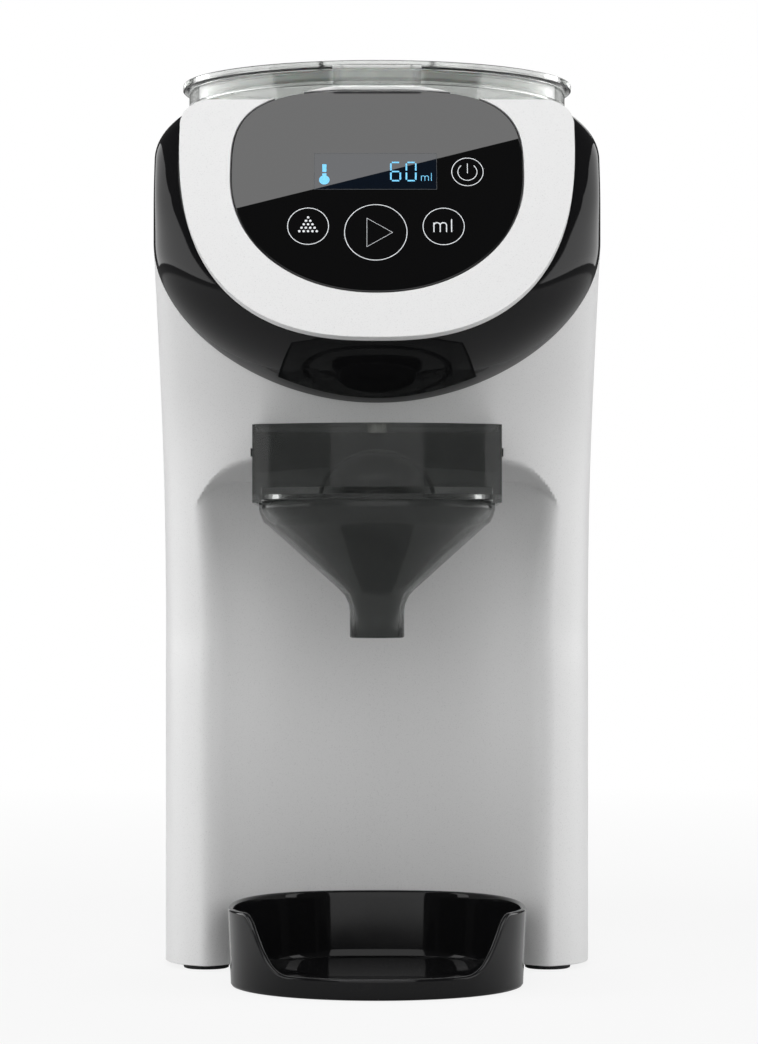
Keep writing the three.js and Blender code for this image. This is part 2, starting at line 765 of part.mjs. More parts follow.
const glandBore = 4;
const glandFlange = 9;
const glandFlangeThickness = 1.6;
const glandDepth = 10;
function cordGland() {
  const flange = glandFlangeThickness;
  const sleeve = turned([[glandBore, -glandDepth], [glandRadius, -glandDepth], [glandRadius, gap],
    [glandFlange, gap], [glandFlange, flange], [glandBore, flange]], 0, 0, smallSides);
  return sleeve.rotate([-90, 0, 0]).translate([glandX, housingBackY, glandHeight]);
}
place("cord_gland", "rubber", cordGland());

// Pump, heater and water way
const pumpX = 34;
const pumpHeight = 26;
const pumpRadius = 16;
const pumpSetback = 26;
const pumpLength = 50;
const pumpY1 = housingBackY - pumpSetback;
const pumpY0 = pumpY1 - pumpLength;
const pumpFootHalf = 12;
const portRadius = 3.4;
const portLength = 7;
const hoseRadius = 3.2;
const hoseBore = 2;
function lying(radius, y0, y1, x, z, sides = roundSides) {
  const shaft = new THREE.CylinderGeometry(radius, radius, y1 - y0, sides);
  return solid(shaft.translate(x, (y0 + y1) / 2, z));
}
function waterPump() {
  const foot = block(pumpX - pumpFootHalf, pumpX + pumpFootHalf, pumpY0, pumpY1, baseTop + gap,
    pumpHeight);
  const head = pumpHeight + pumpRadius;
  return joined([
    lying(pumpRadius, pumpY0, pumpY1, pumpX, pumpHeight),
    foot,
    rod(portRadius, pumpHeight, head + portLength, pumpX, pumpY1 - pumpRadius),
    rod(portRadius, pumpHeight, head + portLength, pumpX, pumpY0 + pumpRadius),
  ]);
}
place("water_pump", "black", waterPump());

const heaterX0 = 8;
const heaterX1 = 62;
const heaterSetback = 94;
const heaterDepth = 26;
const heaterY1 = housingBackY - heaterSetback;
const heaterY0 = heaterY1 - heaterDepth;
const heaterHeight = 72;
const finCount = 5;
const finDepth = 3;
const finWidth = 4;
function heaterBlock() {
  const top = baseTop + heaterHeight;
  const body = block(heaterX0, heaterX1, heaterY0, heaterY1, baseTop + gap, top);
  const pitch = (heaterX1 - heaterX0) / finCount;
  const slots = Array.from({ length: finCount }, (_, i) => {
    const x = heaterX0 + (i + 1 / 2) * pitch - finWidth / 2;
    return block(x, x + finWidth, heaterY0 - overrun, heaterY0 + finDepth, 0, top + overrun);
  });
  const ports = [heaterX0 + pitch, heaterX1 - pitch].map((x) =>
    rod(portRadius, top - portLength, top + portLength, x, (heaterY0 + heaterY1) / 2));
  return slots.reduce((left, slot) => left.subtract(slot), body).add(joined(ports));
}
place("heater_block", "alloy", heaterBlock());

// Socket in the tank shelf that the tank's valve seats on
const socketBore = 4;
const socketFlange = 10;
const socketFlangeThickness = 1.2;
const socketDrop = 14;
const socketTop = 5;
function tankSocket() {
  const top = ledgeHeight + socketFlangeThickness;
  return turned([[socketBore, ledgeHeight - socketDrop], [socketRadius, ledgeHeight - socketDrop],
    [socketRadius, ledgeHeight + gap], [socketFlange, ledgeHeight + gap], [socketFlange, top],
    [socketRadius, top], [socketRadius - thinWall / 2, ledgeHeight + socketTop],
    [socketBore, ledgeHeight + socketTop]], 0, socketY, smallSides);
}
place("tank_socket", "silicone", tankSocket());

const pumpTop = pumpHeight + pumpRadius + portLength + gap;
const heaterTop = baseTop + heaterHeight + portLength + gap;
const heaterPitch = (heaterX1 - heaterX0) / finCount;
const heaterMiddleY = (heaterY0 + heaterY1) / 2;
const hoseRise = 18;
const inletSway = 6;
const socketLow = ledgeHeight - socketDrop - gap;
const inletBend = [pumpX / 2, socketY - inletSway, (socketLow + pumpTop) / 2];
place("inlet_hose", "silicone", hose([
  [0, socketY, socketLow],
  [0, socketY, socketLow - hoseRise],
  inletBend,
  [pumpX, pumpY1 - pumpRadius, pumpTop + hoseRise],
  [pumpX, pumpY1 - pumpRadius, pumpTop],
], hoseRadius));
place("heater_hose", "silicone", hose([
  [pumpX, pumpY0 + pumpRadius, pumpTop],
  [pumpX, pumpY0 + pumpRadius, heaterTop],
  [heaterX1 - heaterPitch, (pumpY0 + heaterMiddleY) / 2, heaterTop + hoseRise],
  [heaterX1 - heaterPitch, heaterMiddleY, heaterTop + hoseRise / 2],
  [heaterX1 - heaterPitch, heaterMiddleY, heaterTop],
], hoseRadius));

// The nozzle that wets the funnel, through the roof of the funnel bay
const nozzleFlange = 4.6;
const nozzleDrop = 3;
function waterNozzle() {
  const roof = bayHeight + wall;
  return turned([[hoseBore, bayHeight - nozzleDrop], [waterRadius, bayHeight - nozzleDrop],
    [waterRadius, roof + gap], [nozzleFlange, roof + gap], [nozzleFlange, roof + thinWall],
    [hoseBore, roof + thinWall]], waterX, waterY, smallSides);
}
place("water_nozzle", "nylon", waterNozzle());
const nozzleTop = bayHeight + wall + thinWall + gap;
const wellPass = 7; // from the well's wall to the middle of the hose that passes it
const aroundWell = wellRadius + wellWall + wellPass;
const passShares = [[0.42, 0.93], [0.82, 0.58]]; // across and ahead, round the well
const passes = passShares.map(([across, ahead]) =>
  [aroundWell * across, powderY - aroundWell * ahead, nozzleTop + 2 * hoseRise]);
place("nozzle_hose", "silicone", hose([
  [waterX, waterY, nozzleTop],
  [waterX, waterY, nozzleTop + hoseRise],
  ...passes,
  [aroundWell, powderY, nozzleTop + hoseRise / 2],
  [aroundWell, powderY + hoseRise, bracketBase],
  [(aroundWell + heaterX0) / 2, heaterMiddleY, (bracketBase + heaterTop) / 2],
  [heaterX0 + heaterPitch, heaterMiddleY, heaterTop + hoseRise],
  [heaterX0 + heaterPitch, heaterMiddleY, heaterTop],
], hoseRadius));

// Drive: motor under a bracket, pinion, gear and the shaft that turns the dosing wheel
const bracketHalf = 31;
const bracketFront = 22;
const bracketRear = 20;
const bracketFrontY = powderY - bracketFront;
const bracketBackY = motorY + bracketRear;
const bracketPostRadius = 3;
const bearingBoss = 6;
const motorRadius = 14;
const motorLength = 40;
const motorBoss = 3.4;
const motorShaftRadius = 1.5;
const motorShaftDepth = 4;
function gearBracket() {
  const top = bracketBase + bracketThickness;
  const plate = block(-bracketHalf, bracketHalf, bracketFrontY, bracketBackY, bracketBase, top);
  const posts = both((side) => [bracketFrontY, bracketBackY].map((y) => {
    const inward = y === bracketFrontY ? bracketPostRadius : -bracketPostRadius;
    const x = side * (bracketHalf - bracketPostRadius);
    return rod(bracketPostRadius, bracketBase, wellFloor - wellFloorThickness - gap, x, y + inward);
  }));
  const boss = rod(bearingBoss, bracketBase, gearBase - 2 * gap, 0, powderY);
  return joined([plate, boss, ...posts.flat()])
    .subtract(rod(shaftRadius + gap, bracketBase - overrun, gearBase + overrun, 0, powderY))
    .subtract(rod(motorBoss + gap, bracketBase - overrun, top + overrun, 0, motorY));
}
place("gear_bracket", "steel", gearBracket());

function motor() {
  const top = bracketBase - gap;
  const can = rod(motorRadius, top - motorLength, top, 0, motorY, roundSides);
  const boss = rod(motorBoss, top - motorBoss, top + bracketThickness, 0, motorY);
  const bore = rod(motorShaftRadius + gap, top - motorShaftDepth, top + overrun, 0, motorY);
  return can.add(boss).subtract(bore);
}
place("motor", "steel", motor());

// A spur gear outline with straight flanks. A turn share of the pitch sets its phase.
const toothTipShare = 0.12; // half widths as shares of the tooth pitch
const toothRootShare = 0.3;
function gearOutline(teeth, phase) {
  const pitchRadius = (gearModule * teeth) / 2;
  const tip = pitchRadius + gearModule * addendumShare;
  const root = pitchRadius - gearModule * dedendumShare;
  const outline = [];
  for (let i = 0; i < teeth; i++) {
    const angleAt = (share) => ((i + phase + share) / teeth) * 2 * Math.PI;
    const corners = [[root, -toothRootShare], [tip, -toothTipShare], [tip, toothTipShare],
      [root, toothRootShare]];
    for (const [radius, share] of corners) {
      outline.push([radius * Math.cos(angleAt(share)), radius * Math.sin(angleAt(share))]);
    }
  }
  return outline;
}

// A gear blank with teeth, a hub and a bore, upright at the origin of the plane.
const gearHub = 6;
const gearWeb = 3;
const gearRim = 3;
function spurGear(teeth, phase, bore, web) {
  let made = raised(gearOutline(teeth, phase), gearBase, gearBase + gearThickness);
  if (web) {
    const rootRadius = (gearModule * teeth) / 2 - gearModule * dedendumShare;
    const pocket = collar(gearHub, rootRadius - gearRim, gearBase + web,
      gearBase + gearThickness + overrun, 0, 0);
    made = made.subtract(pocket);
  }
  return made.subtract(rod(bore, gearBase - overrun, gearBase + gearThickness + overrun, 0, 0));
}

// A tooth of the gear points at the pinion, and a space of the pinion faces it.
place("drive_gear", "nylon", spurGear(gearTeeth, gearTeeth / 4, shaftRadius + gap, gearWeb)
  .translate([0, powderY, 0]));
function motorPinion() {
  const top = bracketBase - gap;
  const teeth = spurGear(pinionTeeth, 1 / 2 - pinionTeeth / 4, motorShaftRadius / 2, 0);
  const shaft = rod(motorShaftRadius, top - motorShaftDepth + gap, gearBase + gearThickness, 0, 0);
  return teeth.add(shaft).translate([0, motorY, 0]);
}
place("motor_pinion", "steel", motorPinion());

const shaftRise = 9;
const shaftTop = wellFloor + shaftRise;
const collarGap = gap + gap / 2;
const squareHalf = 2.1;
const squareHeight = 6;
function driveShaft() {
  const round = rod(shaftRadius, bracketBase + gap, shaftTop - squareHeight, 0, powderY);
  const collarRing = rod(gearHub - collarGap, gearBase + gearThickness + gap,
    gearBase + gearThickness + gearWeb, 0, powderY);
  const square = block(-squareHalf, squareHalf, powderY - squareHalf, powderY + squareHalf,
    shaftTop - squareHeight - gap, shaftTop);
  return joined([round, collarRing, square]);
}
place("drive_shaft", "steel", driveShaft());

// Powder container: a clear bowl with a wide rim, a dosing wheel and a stirrer
const bowlBottom = wellFloor + gap;
const bowlFloorThickness = 2.2;
const rimFlangeThickness = 2.6;
const outletEdge = 1;
const outletRadius = chuteRadius - outletEdge;
const doseRise = 11;
const doseTop = wellFloor + doseRise;
const doseRadiusOuter = bowlRadius - bowlWall - 2 * gap;
const pocketEdge = 0.6;
const pocketRadius = outletRadius - pocketEdge;
const pocketCount = 8;
const spindleHole = 5;
const hingeReach = 8; // behind the container's rim
const hingeRise = 8;
const hingeY = powderY + containerRimRadius + hingeReach;
const hingeZ = deckHeight + hingeRise;
const barrelRadius = 3;
const barrelHalf = 7.5;
const earThickness = 3.5;
const hingePinRadius = 1.2;
const scraperHalf = 11;
const scraperThickness = 2;
function containerBowl() {
  const seat = deckHeight + gap;
  const flangeTop = seat + rimFlangeThickness;
  const inner = bowlRadius - bowlWall;
  const rimInner = containerRimRadius - thinWall;
  const bowl = turned([
    [0, bowlBottom], [bowlRadius, bowlBottom], [bowlRadius, seat], [containerRimRadius, seat],
    [containerRimRadius, containerRimHeight], [rimInner, containerRimHeight],
    [rimInner, flangeTop], [inner, seat], [inner, bowlBottom + bowlFloorThickness],
    [0, bowlBottom + bowlFloorThickness],
  ], 0, powderY, bowlSides);
  const arms = both((side) => {
    const x = side > 0 ? barrelHalf + gap : -barrelHalf - gap - earThickness;
    const arm = block(x, x + earThickness, powderY + rimInner + thinWall / 2, hingeY, seat, hingeZ);
    return arm.add(pin(barrelRadius, x, x + earThickness, hingeY, hingeZ));
  });
  return joined([bowl, ...arms])
    .subtract(pin(hingePinRadius + gap, -barrelHalf * 2, barrelHalf * 2, hingeY, hingeZ))
    .subtract(rod(outletRadius, bowlBottom - overrun, bowlBottom + overrun, 0, chuteTopY))
    .subtract(rod(spindleHole, bowlBottom - overrun, bowlBottom + overrun, 0, powderY));
}
place("container_bowl", "clear", containerBowl());

const wheelBottom = bowlBottom + bowlFloorThickness + gap;
const wheelHubRadius = 8;
const hubRise = 18;
const hubTop = doseTop + hubRise;
const scraperReach = 8; // how far the scraper stays off the hub
const scraperBottom = doseTop + gap;
const scraperTop = scraperBottom + scraperThickness;
const scraperInnerY = powderY - wheelHubRadius - scraperReach;
function dosingWheel() {
  const disc = rod(doseRadiusOuter, wheelBottom, doseTop, 0, powderY, bowlSides);
  const hub = rod(wheelHubRadius, wheelBottom, hubTop, 0, powderY);
  const socket = squareHalf + gap;
  const pockets = Array.from({ length: pocketCount }, (_, i) => {
    const angle = (i / pocketCount) * 2 * Math.PI;
    const x = doseRadius * Math.cos(angle);
    return rod(pocketRadius, wheelBottom - overrun, doseTop + overrun, x,
      powderY + doseRadius * Math.sin(angle));
  });
  const recess = block(-socket, socket, powderY - socket, powderY + socket,
    wheelBottom - overrun, shaftTop + gap);
  const neck = rod(shaftRadius + gap, wheelBottom - overrun, shaftTop - squareHeight + gap, 0, powderY);
  return [recess, neck, ...pockets].reduce((left, cut) => left.subtract(cut), disc.add(hub));
}
place("dosing_wheel", "nylon", dosingWheel());

// A cover fixed in the bowl that wipes the pocket over the outlet level
function powderScraper() {
  const reach = bowlRadius - bowlWall - gap;
  const plate = rod(reach, scraperBottom, scraperTop, 0, powderY, bowlSides);
  const window = block(-scraperHalf, scraperHalf, powderY - bowlRadius, scraperInnerY,
    scraperBottom - overrun, scraperTop + overrun);
  const ribHalf = thinWall / 2;
  const ribTop = scraperTop + wheelHubRadius;
  const rib = block(-ribHalf, ribHalf, powderY - reach + thinWall, scraperInnerY, scraperBottom, ribTop);
  return plate.intersect(window).add(rib);
}
place("powder_scraper", "nylon", powderScraper());

const stirrerBottom = scraperTop + wheelHubRadius + collarGap;
const stirrerArms = 3;
const stirrerArmHalf = 2;
const stirrerHubRadius = 11;
function stirrer() {
  const hub = collar(wheelHubRadius + gap, stirrerHubRadius, stirrerBottom, hubTop, 0, powderY);
  const arms = Array.from({ length: stirrerArms }, (_, i) => {
    const bar = block(stirrerHubRadius - thinWall, doseRadiusOuter - thinWall, -stirrerArmHalf,
      stirrerArmHalf, stirrerBottom, stirrerBottom + 2 * stirrerArmHalf);
    return bar.rotate([0, 0, (i * 360) / stirrerArms]).translate([0, powderY, 0]);
  });
  return joined([hub, ...arms]);
}
place("stirrer", "nylon", stirrer());

// Clear lid with a skirt, a pull tab in front and a hinge barrel behind
const lidThickness = 2.6;
const lidEdge = 0.5;
const skirtWidth = 2.8;
const skirtDrop = 4.4;
const skirtRadius = containerRimRadius + skirtWidth;
const skirtBottom = containerRimHeight - skirtDrop;
const tabHalf = 15;
const tabDepth = 4;
const tabDrop = 5.7;
const tabBottom = containerRimHeight - tabDrop;
const sealInset = 5.6; // keeps the seal clear of the rim as the lid swings
const sealRadius = containerRimRadius - sealInset;
const sealHeight = 3;
function lidCover() {
  const bottom = lidTop - lidThickness;
  const inner = containerRimRadius + 2 * gap;
  const edge = lidEdge;
  const cover = turned([
    [0, bottom], [inner, bottom], [inner, skirtBottom], [skirtRadius, skirtBottom],
    [skirtRadius, bottom], [lidRadius - edge, bottom], [lidRadius, bottom + edge],
    [lidRadius, lidTop - edge], [lidRadius - edge, lidTop], [0, lidTop],
  ], 0, powderY, bowlSides);
  const tabBack = powderY - inner - lidEdge;
  const tab = block(-tabHalf, tabHalf, powderY - lidRadius - tabDepth / 2, tabBack - lidEdge,
    tabBottom, bottom + thinWall / 2);
  const arm = block(-barrelHalf, barrelHalf, hingeY - barrelRadius - thinWall, hingeY, hingeZ, lidTop);
  const shell = rod(inner, skirtBottom - overrun, bottom, 0, powderY, bowlSides);
  return joined([cover, tab, arm.subtract(shell), pin(barrelRadius, -barrelHalf, barrelHalf, hingeY, hingeZ)])
    .subtract(pin(hingePinRadius + gap, -barrelHalf * 2, barrelHalf * 2, hingeY, hingeZ));
}
place("lid_cover", "clear", lidCover());
place("lid_seal", "silicone", collar(sealRadius, sealRadius + thinWall, lidTop - lidThickness - sealHeight,
  lidTop - lidThickness - gap / 2, 0, powderY, bowlSides));
const pinReach = barrelHalf + gap + earThickness;
place("lid_hinge_pin", "steel", pin(hingePinRadius, -pinReach, pinReach, hingeY, hingeZ));

// Funnel: a round cone with a nozzle, hung from a box-like cover that slides into the bay
const coverHeight = 29.7;
const coverLow = coverTop - coverHeight;
const coneInset = 1.4;
const coneRise = 4.7;
const shoulderDrop = 4.2;
const coneStartDrop = 6.9;
const coneEndDrop = 31.3;
const nozzleDropTop = 35.2;
const nozzleDropEnd = 45.8;
const coneRadius = coverHalf - coneInset;
const coneTop = coverLow + coneRise;
const coneShoulder = coneTop - shoulderDrop;
const coneStart = coneTop - coneStartDrop;
const coneEnd = coneTop - coneEndDrop;
const nozzleRadius = 9.2;
const nozzleStart = coneTop - nozzleDropTop;
const nozzleEnd = coneTop - nozzleDropEnd;
const coneWall = 1.6;
const coneEase = 0.4; // small chamfer where the cone meets its upright rim
const coneRunIn = 2.24; // from the end of the inner cone's slope to the rim
function funnelCone() {
  const w = coneWall;
  return turned([
    [nozzleRadius - w, nozzleEnd], [nozzleRadius, nozzleEnd], [nozzleRadius, nozzleStart],
    [nozzleRadius + w, coneEnd], [coneRadius - w, coneStart], [coneRadius - coneEase, coneShoulder],
    [coneRadius, coneShoulder + w], [coneRadius, coneTop], [coneRadius - w, coneTop],
    [coneRadius - w, coneShoulder + w], [coneRadius - w - coneRunIn, coneStart + w],
    [nozzleRadius, coneEnd + w], [nozzleRadius - w, nozzleStart],
  ], 0, axisY, bowlSides);
}
place("funnel_cone", "smoke", funnelCone());

const coverFrontRise = 5;
const coverCorner = 25.3;
const coverNose = 40.3;
const coverFrontLow = coverLow + coverFrontRise;
const coverCornerY = axisY - coverCorner;
const coverNoseY = axisY - coverNose;
const coverWall = 1.3;
const coverSteps = 14;
const coverPost = 3.2;
const shelfMargin = 3.8;
const shelfHole = coneRadius - shelfMargin;
const shelfThickness = 1.6;
const domeRadius = 20;
const domeRise = 17.4;
const domeTop = coverFrontLow + domeRise;
const domeSteps = 6;
const spokeHalf = 1.2;
function coverOutline(inset) {
  const sag = coverCornerY - coverNoseY;
  const radius = (coverHalf ** 2 + sag ** 2) / (2 * sag);
  const half = coverHalf - inset;
  const centre = coverNoseY + radius;
  const sweep = Math.asin(half / (radius - inset));
  const front = Array.from({ length: coverSteps + 1 }, (_, i) => {
    const angle = mix(-sweep, sweep, i / coverSteps);
    const reach = radius - inset;
    return [reach * Math.sin(angle), centre - reach * Math.cos(angle)];
  });
  return [...front, [half, coverRearY - inset], [-half, coverRearY - inset]];
}
function funnelCover() {
  const wallRing = raised(coverOutline(0), coverLow, coverTop)
    .subtract(raised(coverOutline(coverWall), coverLow - overrun, coverTop + overrun));
  const openFront = block(coverPost - coverHalf, coverHalf - coverPost, frontY, coverCornerY + overrun,
    coverLow - overrun, coverFrontLow);
  const openRear = block(-bayHalf, bayHalf, coverRearY - 2 * overrun, bayRearY, coverLow - overrun,
    coverFrontLow);
  const shelf = raised(coverOutline(coverWall / 2), coverFrontLow, coverFrontLow + shelfThickness)
    .subtract(rod(shelfHole, coverLow, coverTop, 0, axisY, bowlSides));
  const tongues = both((side) => {
    const x = side * (coverHalf - coverWall / 2);
    const tip = side * (coverHalf + tongueDepth);
    return block(Math.min(x, tip), Math.max(x, tip), coverRearY - tongueRun, coverRearY, tongueBase,
      tongueBase + tongueHeight);
  });
  const shelfTop = coverFrontLow + shelfThickness;
  const dome = (radius, top) => turned([[0, coverFrontLow - overrun * (radius < domeRadius)],
    ...Array.from({ length: domeSteps + 1 }, (_, i) => {
      const angle = ((i / domeSteps) * Math.PI) / 2;
      return [radius * Math.cos(angle), mix(coverFrontLow, top, Math.sin(angle))];
    })], 0, axisY, roundSides);
  const spokes = block(-shelfHole - coverWall, shelfHole + coverWall, axisY - spokeHalf,
    axisY + spokeHalf, coverFrontLow, shelfTop);
  const inside = dome(domeRadius - coverWall, domeTop - coverWall);
  return joined([wallRing.subtract(openFront).subtract(openRear), shelf, ...tongues,
    spokes.add(dome(domeRadius, domeTop)).subtract(inside)]);
}
place("funnel_cover", "smoke", funnelCover());

// Bottle tray: a cup with a swooping front lip, a long rounded rear and a locating tongue
const trayHeight = 26.4;
const trayLip = 7.1;
const trayWall = 2;
const trayFloor = 3;
const trayTaper = 1.1; // the side leans in this much towards the bottom
const trayRear = 66; // from the axis to the back of the tray
const trayRearPower = 2.6;
const traySteps = 56;
const trayLipHalf = 28;
const trayLipRamp = 17;
const trayLipCurve = 1.2;
const trayLevels = 3;
function trayOutline(inset) {
  return Array.from({ length: traySteps }, (_, i) => {
    const angle = (i / traySteps) * 2 * Math.PI;
    const rear = Math.sin(angle) > 0;
    const power = rear ? trayRearPower : 2;
    const reach = (rear ? trayRear : trayRadius) - inset;
    const across = Math.abs(Math.cos(angle)) ** (2 / power) * Math.sign(Math.cos(angle));
    const back = Math.abs(Math.sin(angle)) ** (2 / power) * Math.sign(Math.sin(angle));
    return new THREE.Vector3((trayRadius - inset) * across, axisY + reach * back, 0);
  });
}

// Height of the tray's rim: low across the front, high along the sides and back.
function trayRim(point) {
  if (point.y > axisY) return trayHeight;
  return mix(trayLip, trayHeight, smooth((Math.abs(point.x) - trayLipHalf) / trayLipRamp) ** trayLipCurve);
}
function bottleTray() {
  const cup = (inset, low) => skinned(Array.from({ length: trayLevels }, (_, level) => {
    const share = level / (trayLevels - 1);
    return trayOutline(inset).map((point, i) => {
      const foot = trayOutline(inset + trayTaper)[i];
      const placed = foot.clone().lerp(point, share);
      return placed.setZ(mix(low, inset ? trayHeight + overrun : trayRim(point), share));
    });
  }), fromAbove);
  const slotY = axisY + alcoveRadius + 2 * wall;
  const tongue = block(-tongueSlotHalf, tongueSlotHalf, axisY + trayRear - trayWall, slotY,
    traySlotBase, traySlotBase + trayTongueThickness);
  return cup(0, 0).subtract(cup(trayWall, trayFloor)).add(tongue);
}
place("bottle_tray", "black", bottleTray());

// Water tank with its valve, and a lid hinged at the rear
const tankInset = 0.8;
const tankHalf = bodyHalf - tankInset;
const tankWall = 2.2;
const tankDrop = 3.5;
const tankLidRise = 1;
const tankTop = deckHeight - tankDrop;
const tankBottom = ledgeHeight + gap + socketFlangeThickness;
const tankFrontRadius = 6;
const valveHole = 11;
const tankLidTop = deckHeight + tankLidRise;
const tankHingeRadius = 2.1;
const tankHingeY = backY - tankHingeRadius - gap;
const tankHingeZ = tankLidTop - tankHingeRadius;
const tankPinRadius = 1;
const tankEarInset = 15.4;
const tankEarX = bodyHalf - tankEarInset;
const tankEarWidth = 5;
function tankOutline(inset) {
  const corners = [[1, 1, 0], [-1, 1, 1], [-1, -1, 2], [1, -1, 3]];
  return corners.flatMap(([right, back, quarter]) => {
    const full = back > 0 ? rearRadius : tankFrontRadius;
    const x = right * (tankHalf - full);
    const y = back > 0 ? backY - full : tankFrontY + full;
    return Array.from({ length: cornerSteps + 1 }, (_, i) => {
      const angle = ((quarter + i / cornerSteps) * Math.PI) / 2;
      return [x + (full - inset) * Math.cos(angle), y + (full - inset) * Math.sin(angle)];
    });
  });
}
function waterTank() {
  const shell = raised(tankOutline(0), tankBottom, tankTop)
    .subtract(raised(tankOutline(tankWall), tankBottom + tankWall, tankTop + overrun))
    .subtract(rod(valveHole, tankBottom - overrun, tankBottom + overrun, 0, socketY));
  const ears = both((side) => {
    const x = side > 0 ? tankEarX : -tankEarX - tankEarWidth;
    const post = block(x, x + tankEarWidth, tankHingeY - tankHingeRadius, tankHingeY + tankHingeRadius,
      tankTop - 2 * tankWall, tankHingeZ);
    return post.add(pin(tankHingeRadius, x, x + tankEarWidth, tankHingeY, tankHingeZ));
  });
  const reach = tankEarX + tankEarWidth + overrun;
  return joined([shell, ...ears]).intersect(raised(tankOutline(-gap), 0, deckHeight + overrun))
    .subtract(pin(tankPinRadius + gap, -reach, reach, tankHingeY, tankHingeZ));
}
place("water_tank", "smoke", waterTank());

const valveFlange = 13;
const valveFlangeThickness = 1.6;
const valveBody = 9.5;
const valveHeight = 8;
const valveTop = 13;
const valveSlotHalf = 1.5;
function tankValve() {
  const floor = tankBottom + tankWall + gap;
  const recess = socketRadius + gap;
  const roof = ledgeHeight + socketTop + gap;
  const body = turned([
    [recess, tankBottom], [valveHole - gap, tankBottom], [valveHole - gap, floor],
    [valveFlange, floor], [valveFlange, floor + valveFlangeThickness],
    [valveBody, floor + valveFlangeThickness], [valveBody, floor + valveHeight],
    [socketBore, tankBottom + valveTop], [0, tankBottom + valveTop], [0, roof], [recess, roof],
  ], 0, socketY, smallSides);
  const low = floor + valveFlangeThickness;
  return body.subtract(block(-valveFlange, valveFlange, socketY - valveSlotHalf,
    socketY + valveSlotHalf, low, low + thinWall));
}
place("tank_valve", "nylon", tankValve());
const tankPinReach = tankEarX + tankEarWidth;
place("tank_hinge_pin", "steel", pin(tankPinRadius, -tankPinReach, tankPinReach, tankHingeY,
  tankHingeZ));

const lidSkirtDepth = 5;
const lidNotchHalf = 16;
const lidNotchDepth = 4;
function tankLid() {
  const bottom = tankTop + gap;
  const barrelEnd = tankEarX - gap;
  const past = tankEarX + 2 * tankEarWidth;
  const rear = tankHingeY - tankHingeRadius - gap;
  const plate = raised(tankOutline(0), bottom, tankLidTop)
    .subtract(block(-bodyHalf, bodyHalf, tankHingeY, backY + overrun, 0, deckHeight + overrun));
  const earCuts = both((side) => {
    const x = side > 0 ? barrelEnd : -past;
    return block(x, x + past - barrelEnd, rear, backY, bottom - overrun, tankLidTop + overrun);
  });
  const inner = tankWall + 2 * gap;
  const skirt = raised(tankOutline(inner), bottom - lidSkirtDepth, bottom + gap)
    .subtract(raised(tankOutline(inner + tankWall), 0, deckHeight))
    .subtract(block(-bodyHalf, bodyHalf, rear - tankWall, backY, 0, bottom));
  const notch = block(-lidNotchHalf, lidNotchHalf, tankFrontY - overrun, tankFrontY + lidNotchDepth,
    tankLidTop - thinWall, tankLidTop + overrun);
  const solidLid = joined([plate, skirt, pin(tankHingeRadius, -barrelEnd, barrelEnd, tankHingeY, tankHingeZ)]);
  return [...earCuts, notch, pin(tankPinRadius + gap, -past, past, tankHingeY, tankHingeZ)]
    .reduce((left, cut) => left.subtract(cut), solidLid);
}
place("tank_lid", "smoke", tankLid());

export default group;
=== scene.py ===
"""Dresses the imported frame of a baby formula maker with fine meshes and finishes.

Sizes are millimetres in the frame's axes: X to the machine's right, Y to the back, Z up.
They become metres where a mesh is written. A tool that is used up has a name only as a note.
"""
import logging
import math
from collections.abc import Iterable, Iterator, Sequence
from contextlib import contextmanager
from dataclasses import dataclass, field
from enum import Enum
from functools import cache

import bmesh
import bpy
from mathutils import Matrix, Vector


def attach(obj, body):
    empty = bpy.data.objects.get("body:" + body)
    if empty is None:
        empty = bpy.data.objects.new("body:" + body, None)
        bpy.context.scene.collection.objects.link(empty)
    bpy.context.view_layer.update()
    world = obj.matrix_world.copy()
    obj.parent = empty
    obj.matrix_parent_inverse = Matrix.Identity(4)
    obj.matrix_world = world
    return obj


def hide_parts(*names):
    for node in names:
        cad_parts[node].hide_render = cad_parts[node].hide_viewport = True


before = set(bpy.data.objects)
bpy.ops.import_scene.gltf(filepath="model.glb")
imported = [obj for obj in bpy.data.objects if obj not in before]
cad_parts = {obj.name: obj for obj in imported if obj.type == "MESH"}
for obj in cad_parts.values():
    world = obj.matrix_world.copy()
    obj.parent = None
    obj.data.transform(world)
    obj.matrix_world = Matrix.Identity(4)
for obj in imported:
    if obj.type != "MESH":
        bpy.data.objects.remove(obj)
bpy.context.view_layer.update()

log = logging.getLogger("formula_maker")

Point = tuple[float, float, float]
Flat = tuple[float, float]
Colour = tuple[float, float, float]
Value = float | Sequence[float]
Piece = bpy.types.Object
Socket = bpy.types.NodeSocket

MM = 0.001  # metres in a millimetre
WELD = 0.004  # millimetres within which points are merged
WHITE_POWER = 4  # watts of a square metre of lamp whose face is white
FLAT_WEIGHT = 90  # how much a large face outweighs its rounded edges
SMALL_STEPS = 2  # steps across a small rounded edge
SIDES = (-1, 1)  # left and right
SMOOTH_ANGLE = math.radians(32)  # edges sharper than this stay sharp
BEVEL_ANGLE = math.radians(40)  # edges sharper than this are rounded
WIDE_ANGLE = math.radians(50)  # the same for pieces with wider steps
SQUARE_ANGLE = math.radians(60)  # the same for square edges alone


class Body(Enum):
    """The rigid bodies of the frame that new pieces ride on."""

    HOUSING = "housing"
    CONTAINER = "container"
    DOSING = "dosing"
    LID = "lid"
    FUNNEL = "funnel"
    TRAY = "tray"
    TANK = "tank"
    TANK_CAP = "tank_cap"


class Cut(Enum):
    """What a boolean does with its second piece."""

    TAKE = "DIFFERENCE"
    JOIN = "UNION"
    KEEP = "INTERSECT"


def clamp(value: float) -> float:
    """Returns the value held between 0 and 1."""
    return min(max(value, 0.0), 1.0)


